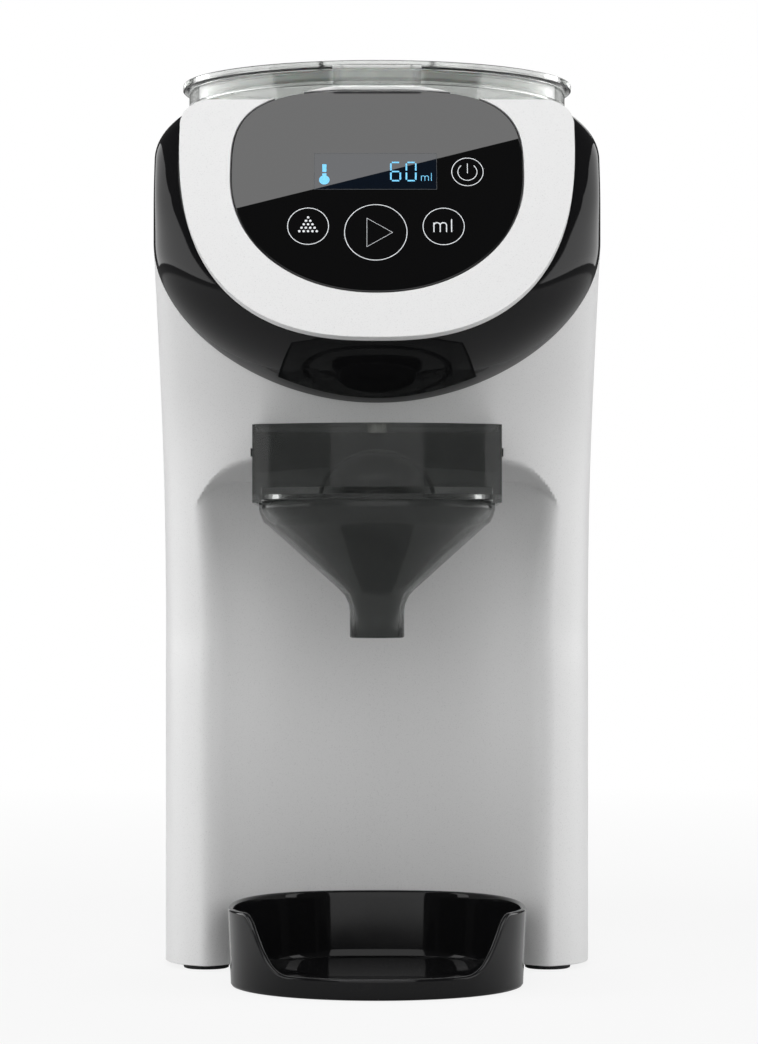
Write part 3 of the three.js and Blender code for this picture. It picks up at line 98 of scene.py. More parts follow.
def ease(value: float) -> float:
    """Returns a smooth step from 0 to 1."""
    held = clamp(value)
    return held * held * (3 - 2 * held)


def mix(start: float, end: float, share: float) -> float:
    """Returns the value that lies a share of the way from start to end."""
    return start + (end - start) * share


def spaced(start: float, end: float, steps: int) -> list[float]:
    """Returns evenly spaced values from start to end, both included."""
    return [mix(start, end, i / steps) for i in range(steps + 1)]


def soft_maximum(first: float, second: float, blend: float) -> float:
    """Returns the larger value, rounded off where the two lie within the blend."""
    spare = max(blend - abs(first - second), 0.0) / blend
    return max(first, second) + spare * spare * blend / 4


def superellipse(angle: float, across: float, up: float, power: float) -> Flat:
    """A point of a superellipse about the origin.

    Args:
        angle: Turn from the right.
        across: Half its width.
        up: Half its height.
        power: Its power, where 2 is an ellipse.

    Returns:
        The point.
    """
    cos, sin = math.cos(angle), math.sin(angle)
    return (across * math.copysign(abs(cos) ** (2 / power), cos),
            up * math.copysign(abs(sin) ** (2 / power), sin))


def quarter(x: float, y: float, radius: float, turn: int, steps: int) -> list[Flat]:
    """A quarter of a circle, counter-clockwise.

    Args:
        x: The centre across.
        y: The centre upwards.
        radius: Its radius.
        turn: Quarters from the right to its start.
        steps: Steps in it.

    Returns:
        Its points.
    """
    angles = [(turn + i / steps) * math.pi / 2 for i in range(steps + 1)]
    return [(x + radius * math.cos(angle), y + radius * math.sin(angle)) for angle in angles]


def rounded_rectangle(half: float, ends: Flat, radii: Flat, inset: float, steps: int) -> list[Flat]:
    """A level rectangle with round corners, counter-clockwise.

    Args:
        half: Half its width.
        ends: Its front and back.
        radii: Corner radii in front and behind.
        inset: How far it is moved in.
        steps: Steps in each corner.

    Returns:
        Its points.
    """
    front, back = ends
    points = []
    for turn, (side, rear) in enumerate(((1, True), (-1, True), (-1, False), (1, False))):
        radius = radii[rear]
        y = back - radius if rear else front + radius
        points += quarter(side * (half - radius), y, radius - inset, turn, steps)
    return points


def select_only(*pieces: Piece) -> None:
    """Selects these pieces alone and makes the first one active.

    Args:
        *pieces: The pieces.
    """
    bpy.ops.object.select_all(action="DESELECT")
    for piece in pieces:
        piece.select_set(True)
    bpy.context.view_layer.objects.active = pieces[0]


@contextmanager
def edited(piece: Piece) -> Iterator[None]:
    """Holds a piece in edit mode, with all of it selected at first.

    Args:
        piece: The piece.

    Yields:
        Nothing, while the piece is in edit mode.
    """
    select_only(piece)
    bpy.ops.object.mode_set(mode="EDIT")
    bpy.ops.mesh.select_all(action="SELECT")
    yield
    bpy.ops.object.mode_set(mode="OBJECT")


def select_open_edges() -> None:
    """Selects the open edges of the piece that is in edit mode."""
    bpy.ops.mesh.select_mode(type="EDGE")
    bpy.ops.mesh.select_non_manifold(extend=False)


def finished(piece: Piece, name: str) -> Piece:
    """Names a piece and puts its place into its mesh.

    Args:
        piece: The modelled piece.
        name: Its name in the scene.

    Returns:
        The same piece, at the origin.
    """
    piece.name = name
    piece.data.name = name
    select_only(piece)
    bpy.ops.object.transform_apply(location=True, rotation=True, scale=True)
    return piece


def outward(piece: Piece) -> Piece:
    """Merges a piece's doubles and turns its faces outwards.

    Args:
        piece: The piece.

    Returns:
        The piece.
    """
    with edited(piece):
        bpy.ops.mesh.remove_doubles(threshold=WELD * MM)
        bpy.ops.mesh.normals_make_consistent(inside=False)
    return piece


def cap_ends(piece: Piece) -> Piece:
    """Fills each boundary loop that is still open with one face.

    Args:
        piece: The piece.

    Returns:
        The closed piece, with its faces outwards.
    """
    shape = bmesh.new()
    shape.from_mesh(piece.data)
    bmesh.ops.holes_fill(shape, edges=[edge for edge in shape.edges if edge.is_boundary])
    shape.to_mesh(piece.data)
    shape.free()
    return outward(piece)


def modified(piece: Piece, kind: str, **values: object) -> Piece:
    """Adds one modifier to a piece and applies it.

    Args:
        piece: The piece.
        kind: Type of the modifier.
        **values: Its settings.

    Returns:
        The piece.
    """
    modifier = piece.modifiers.new(kind.lower(), kind)
    for name, value in values.items():
        setattr(modifier, name, value)
    select_only(piece)
    bpy.ops.object.modifier_apply(modifier=modifier.name)
    return piece


def smoothed(piece: Piece, angle: float = SMOOTH_ANGLE) -> Piece:
    """Shades a piece smooth except across edges sharper than an angle.

    Args:
        piece: The piece.
        angle: Edges sharper than this stay sharp.

    Returns:
        The piece.
    """
    select_only(piece)
    bpy.ops.object.shade_smooth_by_angle(angle=angle)
    return piece


def evened(piece: Piece, angle: float = SMOOTH_ANGLE) -> Piece:
    """Shades a piece smooth and keeps its large faces flat up to their rounded edges."""
    return modified(smoothed(piece, angle), "WEIGHTED_NORMAL", mode="FACE_AREA", weight=FLAT_WEIGHT,
                    keep_sharp=True)


def round_edges(piece: Piece, width: float, segments: int = 3, angle: float = BEVEL_ANGLE) -> Piece:
    """Rounds a piece's edges that are sharper than an angle."""
    return modified(piece, "BEVEL", width=width * MM, segments=segments, limit_method="ANGLE",
                    angle_limit=angle)


def combine(piece: Piece, tool: Piece, cut: Cut = Cut.TAKE) -> Piece:
    """Cuts, joins or clips a piece with a tool, and removes the tool.

    Args:
        piece: The closed piece that is kept.
        tool: The closed piece that is used up.
        cut: What is done with it.

    Returns:
        The piece.
    """
    modified(piece, "BOOLEAN", operation=cut.value, solver="MANIFOLD", object=tool)
    bpy.data.objects.remove(tool, do_unlink=True)
    return piece


def combine_all(piece: Piece, tools: Iterable[Piece], cut: Cut = Cut.TAKE) -> Piece:
    """Uses several tools on a piece in turn.

    Args:
        piece: The closed piece that is kept.
        tools: The closed pieces that are used up.
        cut: What is done with them.

    Returns:
        The piece.
    """
    for tool in tools:
        combine(piece, tool, cut)
    return piece


def slab(name: str, low: Point, high: Point) -> Piece:
    """A block between two corners.

    Args:
        name: Name of the block.
        low: Lowest corner.
        high: Highest corner.

    Returns:
        The block.
    """
    middle = [(a + b) / 2 * MM for a, b in zip(low, high)]
    size = [(b - a) * MM for a, b in zip(low, high)]
    bpy.ops.mesh.primitive_cube_add(size=1, location=middle, scale=size)
    return finished(bpy.context.object, name)


def cylinder(name: str, radius: float, depth: float, middle: Point, turn: Point = (0, 0, 0),
             sides: int = 40) -> Piece:
    """A plain cylinder.

    Args:
        name: Name of the cylinder.
        radius: Its radius.
        depth: Its length.
        middle: Its middle.
        turn: Its turn about each axis, from upright.
        sides: Steps around.

    Returns:
        The cylinder.
    """
    bpy.ops.mesh.primitive_cylinder_add(vertices=sides, radius=radius * MM, depth=depth * MM,
                                        location=[value * MM for value in middle], rotation=turn)
    return finished(bpy.context.object, name)


def rod(name: str, radius: float, low: float, high: float, x: float, y: float,
        sides: int = 48) -> Piece:
    """Returns a plain upright cylinder between two heights."""
    return cylinder(name, radius, high - low, (x, y, (low + high) / 2), sides=sides)


def cross_pin(name: str, radius: float, x0: float, x1: float, y: float, z: float) -> Piece:
    """Returns a plain cylinder that lies along X between two places."""
    return cylinder(name, radius, x1 - x0, ((x0 + x1) / 2, y, z), (0, math.pi / 2, 0))


def wrapped_skin(name: str, rings: Sequence[Sequence[Point]]) -> Piece:
    """A grid primitive laid over closed rings of points, with its ends filled.

    Args:
        name: Name of the skin.
        rings: Rows of the same number of points.

    Returns:
        The closed skin.
    """
    rows = [[*ring, ring[0]] for ring in rings]
    bpy.ops.mesh.primitive_grid_add(x_subdivisions=len(rows[0]) - 1, y_subdivisions=len(rows) - 1,
                                    size=1)
    piece = bpy.context.object
    flat = [value * MM for row in rows for point in row for value in point]
    piece.data.vertices.foreach_set("co", flat)
    outward(finished(piece, name))
    with edited(piece):
        select_open_edges()
        bpy.ops.mesh.edge_face_add()
    return cap_ends(piece)


def turned(name: str, profile: Sequence[Flat], x: float, y: float, sides: int = 128) -> Piece:
    """A profile turned about an upright axis, drawn ring by ring from a circle.

    Args:
        name: Name of the piece.
        profile: Points of radius and height; a closed wall repeats nothing.
        x: The axis across.
        y: The axis along the depth.
        sides: Steps around.

    Returns:
        The piece.
    """
    on_axis = profile[0][0] == 0
    (radius, height), *others = [point for point in profile if point[0] > 0]
    bpy.ops.mesh.primitive_circle_add(vertices=sides, radius=radius * MM,
                                      location=(x * MM, y * MM, height * MM))
    piece = bpy.context.object
    with edited(piece):
        if on_axis:
            bpy.ops.mesh.edge_face_add()
        for next_radius, next_height in others:
            rise = (next_height - height) * MM
            bpy.ops.mesh.extrude_region_move(TRANSFORM_OT_translate={"value": (0, 0, rise)})
            scale = next_radius / radius
            middle = (x * MM, y * MM, next_height * MM)
            bpy.ops.transform.resize(value=(scale, scale, 1), center_override=middle)
            radius, height = next_radius, next_height
        if not on_axis:
            select_open_edges()
            bpy.ops.mesh.bridge_edge_loops()
    return outward(finished(piece, name))


def raised(name: str, outline: Sequence[Flat], low: float, high: float) -> Piece:
    """A level outline raised between two heights.

    Args:
        name: Name of the piece.
        outline: Points of x and y, counter-clockwise.
        low: Height of its underside.
        high: Height of its top.

    Returns:
        The closed piece.
    """
    bpy.ops.mesh.primitive_circle_add(vertices=len(outline), radius=1, fill_type="NGON")
    piece = bpy.context.object
    flat = [value * MM for x, y in outline for value in (x, y, low)]
    piece.data.vertices.foreach_set("co", flat)
    with edited(piece):
        rise = (0, 0, (high - low) * MM)
        bpy.ops.mesh.extrude_region_move(TRANSFORM_OT_translate={"value": rise})
    return outward(finished(piece, name))


def joined(name: str, pieces: Sequence[Piece]) -> Piece:
    """Joins separate meshes into one piece without changing them.

    Args:
        name: Name of the piece.
        pieces: The meshes.

    Returns:
        The one piece.
    """
    select_only(*pieces)
    if len(pieces) > 1:
        bpy.ops.object.join()
    return finished(bpy.context.object, name)


def copied(node: str, name: str) -> Piece:
    """A merged copy of a node of the frame, at the same place.

    Args:
        node: Name of the node.
        name: Name of the copy.

    Returns:
        The copy, free of the node's parent.
    """
    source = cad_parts[node]
    mesh = source.data.copy()
    mesh.transform(source.matrix_world)
    mesh.materials.clear()
    piece = bpy.data.objects.new(name, mesh)
    bpy.context.scene.collection.objects.link(piece)
    return outward(finished(piece, name))


def bead(name: str, path: Sequence[Point], radius: float, closed: bool = False,
         sides: int = 3) -> Piece:
    """A thin round bead along a path.

    Args:
        name: Name of the bead.
        path: Its points.
        radius: Radius of the bead.
        closed: Whether the path meets its own start.
        sides: Bevel resolution of the bead.

    Returns:
        The bead as a mesh.
    """
    curve = bpy.data.curves.new(name, "CURVE")
    curve.dimensions = "3D"
    curve.bevel_depth = radius * MM
    curve.bevel_resolution = sides
    curve.use_fill_caps = not closed
    spline = curve.splines.new("POLY")
    spline.points.add(len(path) - 1)
    for point, place in zip(spline.points, path):
        point.co = (*(value * MM for value in place), 1)
    spline.use_cyclic_u = closed
    piece = bpy.data.objects.new(name, curve)
    bpy.context.scene.collection.objects.link(piece)
    select_only(piece)
    bpy.ops.object.convert(target="MESH")
    return smoothed(finished(bpy.context.object, name), SQUARE_ANGLE)


class Wiring:
    """A node tree, with short ways to add and link nodes."""

    def __init__(self, tree: bpy.types.NodeTree) -> None:
        """Keeps the tree."""
        self.tree = tree

    def node(self, kind: str, **values: Value) -> bpy.types.Node:
        """Adds a node.

        Args:
            kind: Its type.
            **values: Plain values of its inputs, by names with underscores.

        Returns:
            The node.
        """
        node = self.tree.nodes.new(kind)
        for name, value in values.items():
            node.inputs[name.replace("_", " ")].default_value = value
        return node

    def link(self, start: Socket, end: Socket) -> None:
        """Links two sockets."""
        self.tree.links.new(start, end)

    def maths(self, operation: str, *terms: Socket | float) -> Socket:
        """Works out a value from others.

        Args:
            operation: Name of the operation.
            *terms: Sockets or plain numbers.

        Returns:
            The value.
        """
        node = self.node("ShaderNodeMath")
        node.operation = operation
        for entry, term in zip(node.inputs, terms):
            if isinstance(term, Socket):
                self.link(term, entry)
            else:
                entry.default_value = term
        return node.outputs["Value"]

    def show(self, share: Socket, first: Socket, second: Socket, output: bpy.types.Node) -> None:
        """Shows two shaders, mixed by a share.

        Args:
            share: Share of the second.
            first: One shader.
            second: The other shader.
            output: The tree's output.
        """
        blend = self.node("ShaderNodeMixShader")
        for entry, start in zip(blend.inputs, (share, first, second)):
            self.link(start, entry)
        self.link(blend.outputs["Shader"], output.inputs["Surface"])

    def shown(self, mirrored: float, seen: Socket | None = None) -> Socket:
        """How far a background shows as plain white, by the kind of ray.

        Args:
            mirrored: Share in mirroring surfaces.
            seen: Share for the camera and through clear pieces, or None for all of it.

        Returns:
            The share.
        """
        rays = self.node("ShaderNodeLightPath").outputs
        plain = self.maths("MAXIMUM", rays["Is Camera Ray"], rays["Is Transmission Ray"])
        if seen:
            plain = self.maths("MULTIPLY", plain, seen)
        return self.maths("MULTIPLY_ADD", rays["Is Glossy Ray"], mirrored, plain)


class Sheet(Wiring):
    """A material's node tree, with the few nodes that the finishes share."""

    def __init__(self, name: str) -> None:
        """Starts a material with one Principled shader.

        Args:
            name: Name of the material.
        """
        self.material = bpy.data.materials.new(name)
        self.material.use_nodes = True
        super().__init__(self.material.node_tree)
        self.shader = next(n for n in self.tree.nodes if n.type == "BSDF_PRINCIPLED")
        self.place = self.node("ShaderNodeTexCoord").outputs["Object"]

    def set(self, values: dict[str, Value]) -> None:
        """Sets plain values on the shader, by the names of its sockets."""
        for name, value in values.items():
            self.shader.inputs[name].default_value = value

    def stretched(self, scale: Point) -> Socket:
        """The place on the piece, stretched.

        Args:
            scale: Stretch on each axis.

        Returns:
            The place.
        """
        mapping = self.node("ShaderNodeMapping", Scale=scale)
        self.link(self.place, mapping.inputs["Vector"])
        return mapping.outputs["Vector"]

    def noise(self, scale: float, detail: float, place: Socket | None = None) -> Socket:
        """A noise pattern on the piece.

        Args:
            scale: Cycles in a metre.
            detail: Octaves.
            place: Coordinates, or None for the piece's own.

        Returns:
            The noise value.
        """
        node = self.node("ShaderNodeTexNoise", Scale=scale, Detail=detail)
        self.link(place or self.place, node.inputs["Vector"])
        return node.outputs["Fac"]

    def ranged(self, value: Socket, range_in: Flat, range_out: Flat) -> Socket:
        """A value moved from one range to another and held in it.

        Args:
            value: The value.
            range_in: The range that it is taken from.
            range_out: The range that it is moved to.

        Returns:
            The new value.
        """
        (low, high), (start, end) = range_in, range_out
        node = self.node("ShaderNodeMapRange", From_Min=low, From_Max=high, To_Min=start, To_Max=end)
        self.link(value, node.inputs["Value"])
        return node.outputs["Result"]

    def tinted(self, share: Socket, base: Colour, other: Colour) -> None:
        """Colours the shader between two colours.

        Args:
            share: Share of the second colour.
            base: The first colour.
            other: The second colour.
        """
        node = self.node("ShaderNodeMix")
        node.data_type = "RGBA"
        entries = [socket for socket in node.inputs if socket.type == "RGBA"]
        for entry, colour in zip(entries, (base, other)):
            entry.default_value = (*colour, 1)
        self.link(share, node.inputs["Factor"])
        result = next(socket for socket in node.outputs if socket.type == "RGBA")
        self.link(result, self.shader.inputs["Base Color"])

    def relief(self, height: Socket, depth: float, edge: float) -> None:
        """Gives the surface a fine relief and softly rounded edges.

        Args:
            height: The pattern of the relief.
            depth: Its depth in millimetres.
            edge: Radius of the softened edges in millimetres.
        """
        bump = self.node("ShaderNodeBump", Distance=depth * MM, Strength=1)
        self.link(height, bump.inputs["Height"])
        if edge:
            soft = self.node("ShaderNodeBevel", Radius=edge * MM)
            soft.samples = 6
            self.link(soft.outputs["Normal"], bump.inputs["Normal"])
        self.link(bump.outputs["Normal"], self.shader.inputs["Normal"])


@dataclass(frozen=True)
class Surface:
    """A finish: two colours in a pattern, a changing roughness and a fine relief.

    The noise of each is given as its cycles in a metre and its octaves.
    """

    name: str
    slot: str
    base: Colour
    other: Colour
    roughness: float
    tint: Flat = (260, 5)
    tint_from: Flat = (0.35, 0.75)
    tint_to: Flat = (0, 1)
    wear: Flat = (700, 3)
    wear_from: Flat = (0.3, 0.7)
    wear_to: Flat = (-0.05, 0.05)
    skin: Flat | None = (1200, 3)
    depth: float = 0.02
    edge: float = 0.4

    def patterns(self, sheet: Sheet) -> list[Socket | None]:
        """Returns the patterns of the tint, the roughness and the relief."""
        return [sheet.noise(*noise) if noise else None for noise in (self.tint, self.wear, self.skin)]

    def plain(self) -> dict[str, Value]:
        """Returns the shader's plain values."""
        return {}

    def build(self) -> bpy.types.Material:
        """Makes the finish's material.

        Returns:
            The material.
        """
        sheet = Sheet(self.name)
        tint, wear, skin = self.patterns(sheet)
        sheet.tinted(sheet.ranged(tint, self.tint_from, self.tint_to), self.base, self.other)
        low, high = self.wear_to
        rough = sheet.ranged(wear, self.wear_from, (self.roughness + low, self.roughness + high))
        sheet.link(rough, sheet.shader.inputs["Roughness"])
        if skin:
            sheet.relief(skin, self.depth, self.edge)
        sheet.set(self.plain())
        return sheet.material


@dataclass(frozen=True)
class MouldedPlastic(Surface):
    """An opaque moulding with fine flecks and grain."""

    tint: Flat = (2600, 2)
    tint_from: Flat = (0.58, 0.72)
    tint_to: Flat = (0, 0.5)
    wear: Flat = (420, 4)
    wear_to: Flat = (-0.03, 0.04)
    skin: Flat = (1900, 3)
    depth: float = 0.012
    edge: float = 0.5
    refraction: float = 1.49

    def plain(self) -> dict[str, Value]:
        """Returns the shader's plain values."""
        return {"IOR": self.refraction}


@dataclass(frozen=True)
class GlossPlastic(MouldedPlastic):
    """A polished black moulding that mirrors the room."""

    tint: Flat = (3100, 2)
    tint_from: Flat = (0.66, 0.8)
    tint_to: Flat = (0, 0.35)
    wear: Flat = (60, 3)
    wear_to: Flat = (0, 0.025)
    skin: Flat = (35, 1)
    depth: float = 0.0012
    edge: float = 0.4
    refraction: float = 1.32


@dataclass(frozen=True)
class PanelGlass(GlossPlastic):
    """Even glass over the touch panel."""

    wear_to: Flat = (0, 0.004)
    depth: float = 0.0
    edge: float = 0.0
    refraction: float = 1.55


@dataclass(frozen=True)
class SeeThroughPlastic(Surface):
    """A clear or smoked moulding with a faint haze."""

    tint: Flat = (150, 4)
    wear: Flat = (90, 4)
    wear_to: Flat = (0, 0.05)
    skin: Flat = (40, 1)
    depth: float = 0.002
    edge: float = 0.0
    transmission: float = 1.0
    refraction: float = 1.47

    def plain(self) -> dict[str, Value]:
        """Returns the shader's plain values."""
        return {"IOR": self.refraction, "Transmission Weight": self.transmission}


@dataclass(frozen=True)
class WorkedMetal(Surface):
    """A brushed or cast metal, with one pattern of lines for all."""

    tint: Flat = (900, 4)
    tint_from: Flat = (0.3, 0.7)
    wear_to: Flat = (-0.06, 0.08)
    depth: float = 0.01
    edge: float = 0.3
    stretch: Point = (1, 1, 1)
    anisotropy: float = 0.0

    def patterns(self, sheet: Sheet) -> list[Socket | None]:
        """Returns the lines for the tint, the roughness and the relief."""
        return [sheet.noise(*self.tint, sheet.stretched(self.stretch))] * 3

    def plain(self) -> dict[str, Value]:
        """Returns the shader's plain values."""
        return {"Metallic": 1, "Anisotropic": self.anisotropy}


@dataclass(frozen=True)
class SoftMoulding(Surface):
    """Rubber or silicone with a matt, slightly uneven skin."""

    passing: float = 0.0
    passing_reach: float = 0.002

    def plain(self) -> dict[str, Value]:
        """Returns the shader's plain values."""
        return {"Subsurface Weight": self.passing, "Subsurface Scale": self.passing_reach}


@dataclass(frozen=True)
class CircuitBoard(Surface):
    """Green lacquer over copper tracks."""

    roughness: float = 0.3
    tint_from: Flat = (0, 1)
    tint_to: Flat = (0, 0.7)
    wear: Flat = (300, 3)
    wear_to: Flat = (0, 0.12)
    depth: float = 0.03
    edge: float = 0.2
    cells: float = 60
    track: float = 0.03
    stretch: Point = (1, 1, 1.7)

    def patterns(self, sheet: Sheet) -> list[Socket | None]:
        """Lays out the tracks.

        Args:
            sheet: The material's sheet.

        Returns:
            The patterns of the tint, the roughness and the relief.
        """
        cells = sheet.node("ShaderNodeTexBrick", Scale=self.cells, Mortar_Size=self.track)
        sheet.link(sheet.stretched(self.stretch), cells.inputs["Vector"])
        tracks = cells.outputs["Fac"]
        return [tracks, sheet.noise(*self.wear), tracks]


@dataclass(frozen=True)
class LitPrint(Surface):
    """Printed or lit marks behind the touch panel; the glow on print is painted light."""

    roughness: float = 0.3
    tint: Flat = (1500, 2)
    tint_from: Flat = (0.4, 0.6)
    wear: Flat = (400, 2)
    wear_to: Flat = (0, 0.06)
    skin: None = None
    # Light of its own: the display's glow stands for its real light, the print's glow is painted light.
    glow: float = 0.0

    def plain(self) -> dict[str, Value]:
        """Returns the shader's plain values."""
        return {"Emission Color": (*self.base, 1), "Emission Strength": self.glow}


class Finish(Enum):
    """The finishes of the machine: name, slot of the record, colours and roughness."""

    WHITE = MouldedPlastic("white_moulding", "white_plastic", (0.80, 0.80, 0.80), (0.58, 0.58, 0.585),
                           0.42)
    SATIN = MouldedPlastic("satin_black_moulding", "satin_black", (0.022, 0.022, 0.024),
                           (0.045, 0.045, 0.05), 0.5)
    NYLON = MouldedPlastic("natural_nylon", "nylon", (0.86, 0.85, 0.79), (0.76, 0.75, 0.69), 0.5)
    TRIM = GlossPlastic("black_gloss_moulding", "black_gloss", (0.006, 0.006, 0.0065),
                        (0.03, 0.03, 0.03), 0.045)
    PANEL = PanelGlass("touch_panel_glass", "panel_black", (0.001, 0.001, 0.0012),
                       (0.003, 0.003, 0.003), 0.002)
    WINDOW = PanelGlass("display_glass", "panel_black", (0.001, 0.004, 0.01), (0.002, 0.006, 0.013),
                        0.002)
    CLEAR = SeeThroughPlastic("clear_moulding", "clear_plastic", (0.75, 0.765, 0.75),
                              (0.69, 0.705, 0.69), 0.03)
    SMOKE = SeeThroughPlastic("smoked_moulding", "smoke_plastic", (0.27, 0.278, 0.273),
                              (0.24, 0.248, 0.243), 0.04, transmission=0.94, refraction=1.2)
    RUBBER = SoftMoulding("black_rubber", "rubber", (0.02, 0.02, 0.022), (0.04, 0.04, 0.043), 0.75)
    SILICONE = SoftMoulding("milky_silicone", "silicone", (0.78, 0.8, 0.79), (0.7, 0.72, 0.71), 0.45,
                            passing=0.2)
    STEEL = WorkedMetal("brushed_steel", "steel", (0.62, 0.63, 0.65), (0.42, 0.43, 0.45), 0.28,
                        stretch=(1, 1, 14), anisotropy=0.5)
    ALLOY = WorkedMetal("cast_alloy", "alloy", (0.6, 0.61, 0.63), (0.45, 0.46, 0.48), 0.42,
                        depth=0.05)
    BOARD = CircuitBoard("green_board", "circuit_board", (0.015, 0.12, 0.045), (0.05, 0.22, 0.1))
    # The white print has a painted glow that makes it brighter than lit ink.
    PRINT = LitPrint("white_print_painted_glow", "panel_black", (0.62, 0.64, 0.66), (0.5332, 0.5504, 0.5676),
                     glow=0.45)
    # The display's faint printed edge also has a small painted glow.
    FAINT = LitPrint("faint_print_painted_glow", "panel_black", (0.045, 0.05, 0.055), (0.0387, 0.043, 0.0473),
                     glow=0.05)
    DISPLAY = LitPrint("blue_display", "panel_black", (0.13, 0.47, 0.72), (0.1118, 0.4042, 0.6192),
                       glow=0.6)


@cache
def paint(finish: Finish) -> bpy.types.Material:
    """Returns the material of a finish, which is made once."""
    return finish.value.build()


def fit(piece: Piece, finish: Finish, body: Body, *nodes: str) -> Piece:
    """Gives a piece its finish, hangs it on the body that carries it and hides the nodes that it stands
    for.

    Args:
        piece: The finished mesh.
        finish: Its finish.
        body: The body that carries it.
        *nodes: The nodes that it stands for.

    Returns:
        The piece.
    """
    piece.data.materials.clear()
    piece.data.materials.append(paint(finish))
    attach(piece, body.value)
    if nodes:
        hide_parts(*nodes)
    log.info("%s: %d faces on %s", piece.name, len(piece.data.polygons), body.value)
    return piece


@dataclass(frozen=True)
class Stations:
    """Places that several sub-assemblies share."""

    front: float = -150.0
    back: float = 150.0
    axis: float = -99.7
    trim: float = -97.0
    trim_lean: float = 11.0
    trim_lean_from: float = 262.0
    trim_lean_half: float = 62.0
    low_side: float = -8.0
    powder: float = -26.0
    split: float = 60.0
    tank_front: float = 102.3
    socket: float = 126.15
    housing_back: float = 148.0
    floor: float = 1.8
    deck: float = 295.0
    ledge: float = 123.0
    half_width: float = 75.4
    gap: float = 0.3
    over: float = 8.0

    def seam(self, z: float) -> float:
        """Returns the Y of the trim band's seam, which leans back towards the deck."""
        share = (z - self.trim_lean_from) / (self.deck - self.trim_lean_from)
        return self.trim + self.trim_lean * ease(share)


AT = Stations()


@dataclass
class Housing:
    """The white front and rear housings around the alcove, funnel bay and tank bay.

    A run of levels is its lowest and highest outline and the steps between them.
    """

    wall: float = 2.6
    top_wall: float = 5.0
    shoulder: float = 16.0
    rear_radius: float = 24.0
    flare_low: float = 115.0
    flare_high: float = 250.0
    flare_power: float = 1.5
    square_low: float = 100.0
    square_high: float = 200.0
    low_power: float = 4.2
    head_power: float = 2.0
    low_depth: float = 56.0
    head_depth: float = 47.5
    alcove_radius: float = 70.7
    alcove_roof: float = 171.0
    alcove_corner: float = 18.0
    alcove_mouth: float = 65.0
    alcove_blend: float = 8.0
    roof_steepness: float = 6.0
    bay_half: float = 41.8
    bay_low: float = 154.0
    bay_rear: float = -57.4
    bay_roof: float = 189.5
    groove_half: float = 43.2
    groove_low: float = 178.6
    groove_high: float = 181.4
    deck_half: float = 55.5
    deck_ends: Flat = (-90.0, 90.3)
    deck_corners: Flat = (12.0, 12.0)
    deck_thickness: float = 2.4
    deck_ledge: float = 3.0
    slot_half: float = 15.3
    slot_low: float = 5.7
    slot_high: float = 9.3
    gland_place: Flat = (-38.0, 24.0)
    gland_radius: float = 6.8
    socket_radius: float = 7.3
    chute_radius: float = 10.2
    chute_y: float = -68.0
    water_radius: float = 3.5
    water_y: float = -84.5
    nose_steps: int = 168
    corner_steps: int = 14
    foot_levels: Flat = (60.0, 100.0)
    level_runs: tuple[tuple[float, float, int], ...] = (
        (104, 150, 15), (150.8, 186, 44), (189, 276, 29))
    shoulder_steps: int = 12
    lean_steps: int = 16
    search_steps: int = 40

    def half(self, z: float, inset: float) -> float:
        """The half width at a height.

        Args:
            z: Height.
            inset: Distance inwards from the outer surface.

        Returns:
            The half width, moved in.
        """
        rise = max(z - (AT.deck - self.shoulder), 0)
        arc = math.sqrt(max((self.shoulder - inset) ** 2 - rise**2, 0))
        return AT.half_width - self.shoulder + arc

    def nose(self, x: float, z: float, inset: float) -> float:
        """The housing's front surface before anything is cut out of it.

        Args:
            x: Place across.
            z: Height.
            inset: Distance inwards from the outer surface.

        Returns:
            Its Y.
        """
        forward = clamp((z - self.flare_low) / (self.flare_high - self.flare_low)) ** self.flare_power
        side = mix(AT.low_side, AT.trim, forward)
        square = ease((z - self.square_low) / (self.square_high - self.square_low))
        depth = mix(self.low_depth, self.head_depth, square) - inset
        power = mix(self.low_power, self.head_power, square)
        across = min(abs(x) / self.half(z, inset), 1)
        return side - depth * (1 - across**power) ** (1 / power)

    def alcove(self, x: float, z: float, grow: float) -> float:
        """The alcove's wall, which falls away in front of the housing above its roof.

        Args:
            x: Place across.
            z: Height.
            grow: Distance outwards from the alcove's wall.

        Returns:
            Its Y.
        """
        radius = self.alcove_radius + grow
        if abs(x) >= radius:
            return AT.front - AT.back
        past = min(max(abs(x) - (self.alcove_mouth - self.alcove_corner), 0), self.alcove_corner)
        roof = self.alcove_roof + grow - self.alcove_corner + math.sqrt(self.alcove_corner**2 - past**2)
        return AT.axis + math.sqrt(radius**2 - x * x) - self.roof_steepness * max(z - roof, 0)

    def ring(self, z: float, inset: float) -> list[Point]:
        """One level outline of the housing with the alcove pressed into its front.

        Args:
            z: Height of the outline.
            inset: Distance inwards from the outer surface.

        Returns:
            The outline's points, counter-clockwise.
        """
        half = self.half(z, inset)
        corner = self.rear_radius - inset
        rear = AT.housing_back - self.rear_radius
        points = []
        for turn, side in enumerate((1, -1)):
            points += quarter(side * (half - corner), rear, corner, turn, self.corner_steps)
        for angle in spaced(0, math.pi, self.nose_steps):
            x = -half * math.cos(angle)
            y = soft_maximum(self.nose(x, z, inset), self.alcove(x, z, inset), self.alcove_blend)
            points.append((x, y))
        return [(x, y, z) for x, y in points]

    def heights(self, top: float, inset: float) -> list[float]:
        """The heights of the outlines, close together round the alcove's roof.

        Args:
            top: The highest.
            inset: Distance inwards from the outer surface.

        Returns:
            The heights.
        """
        levels = [-AT.over if inset else AT.floor, *self.foot_levels]
        for run in self.level_runs:
            levels += spaced(*run)
        low = AT.deck - self.shoulder
        reach = min(top - low, self.shoulder - inset)
        turns = spaced(0, math.pi / 2, self.shoulder_steps)
        return levels + [low + reach * math.sin(turn) for turn in turns]

    def form(self, name: str, top: float, inset: float) -> Piece:
        """Returns the closed outer form up to a height, or the hollow when an inset is given."""
        return wrapped_skin(name, [self.ring(z, inset) for z in self.heights(top, inset)])

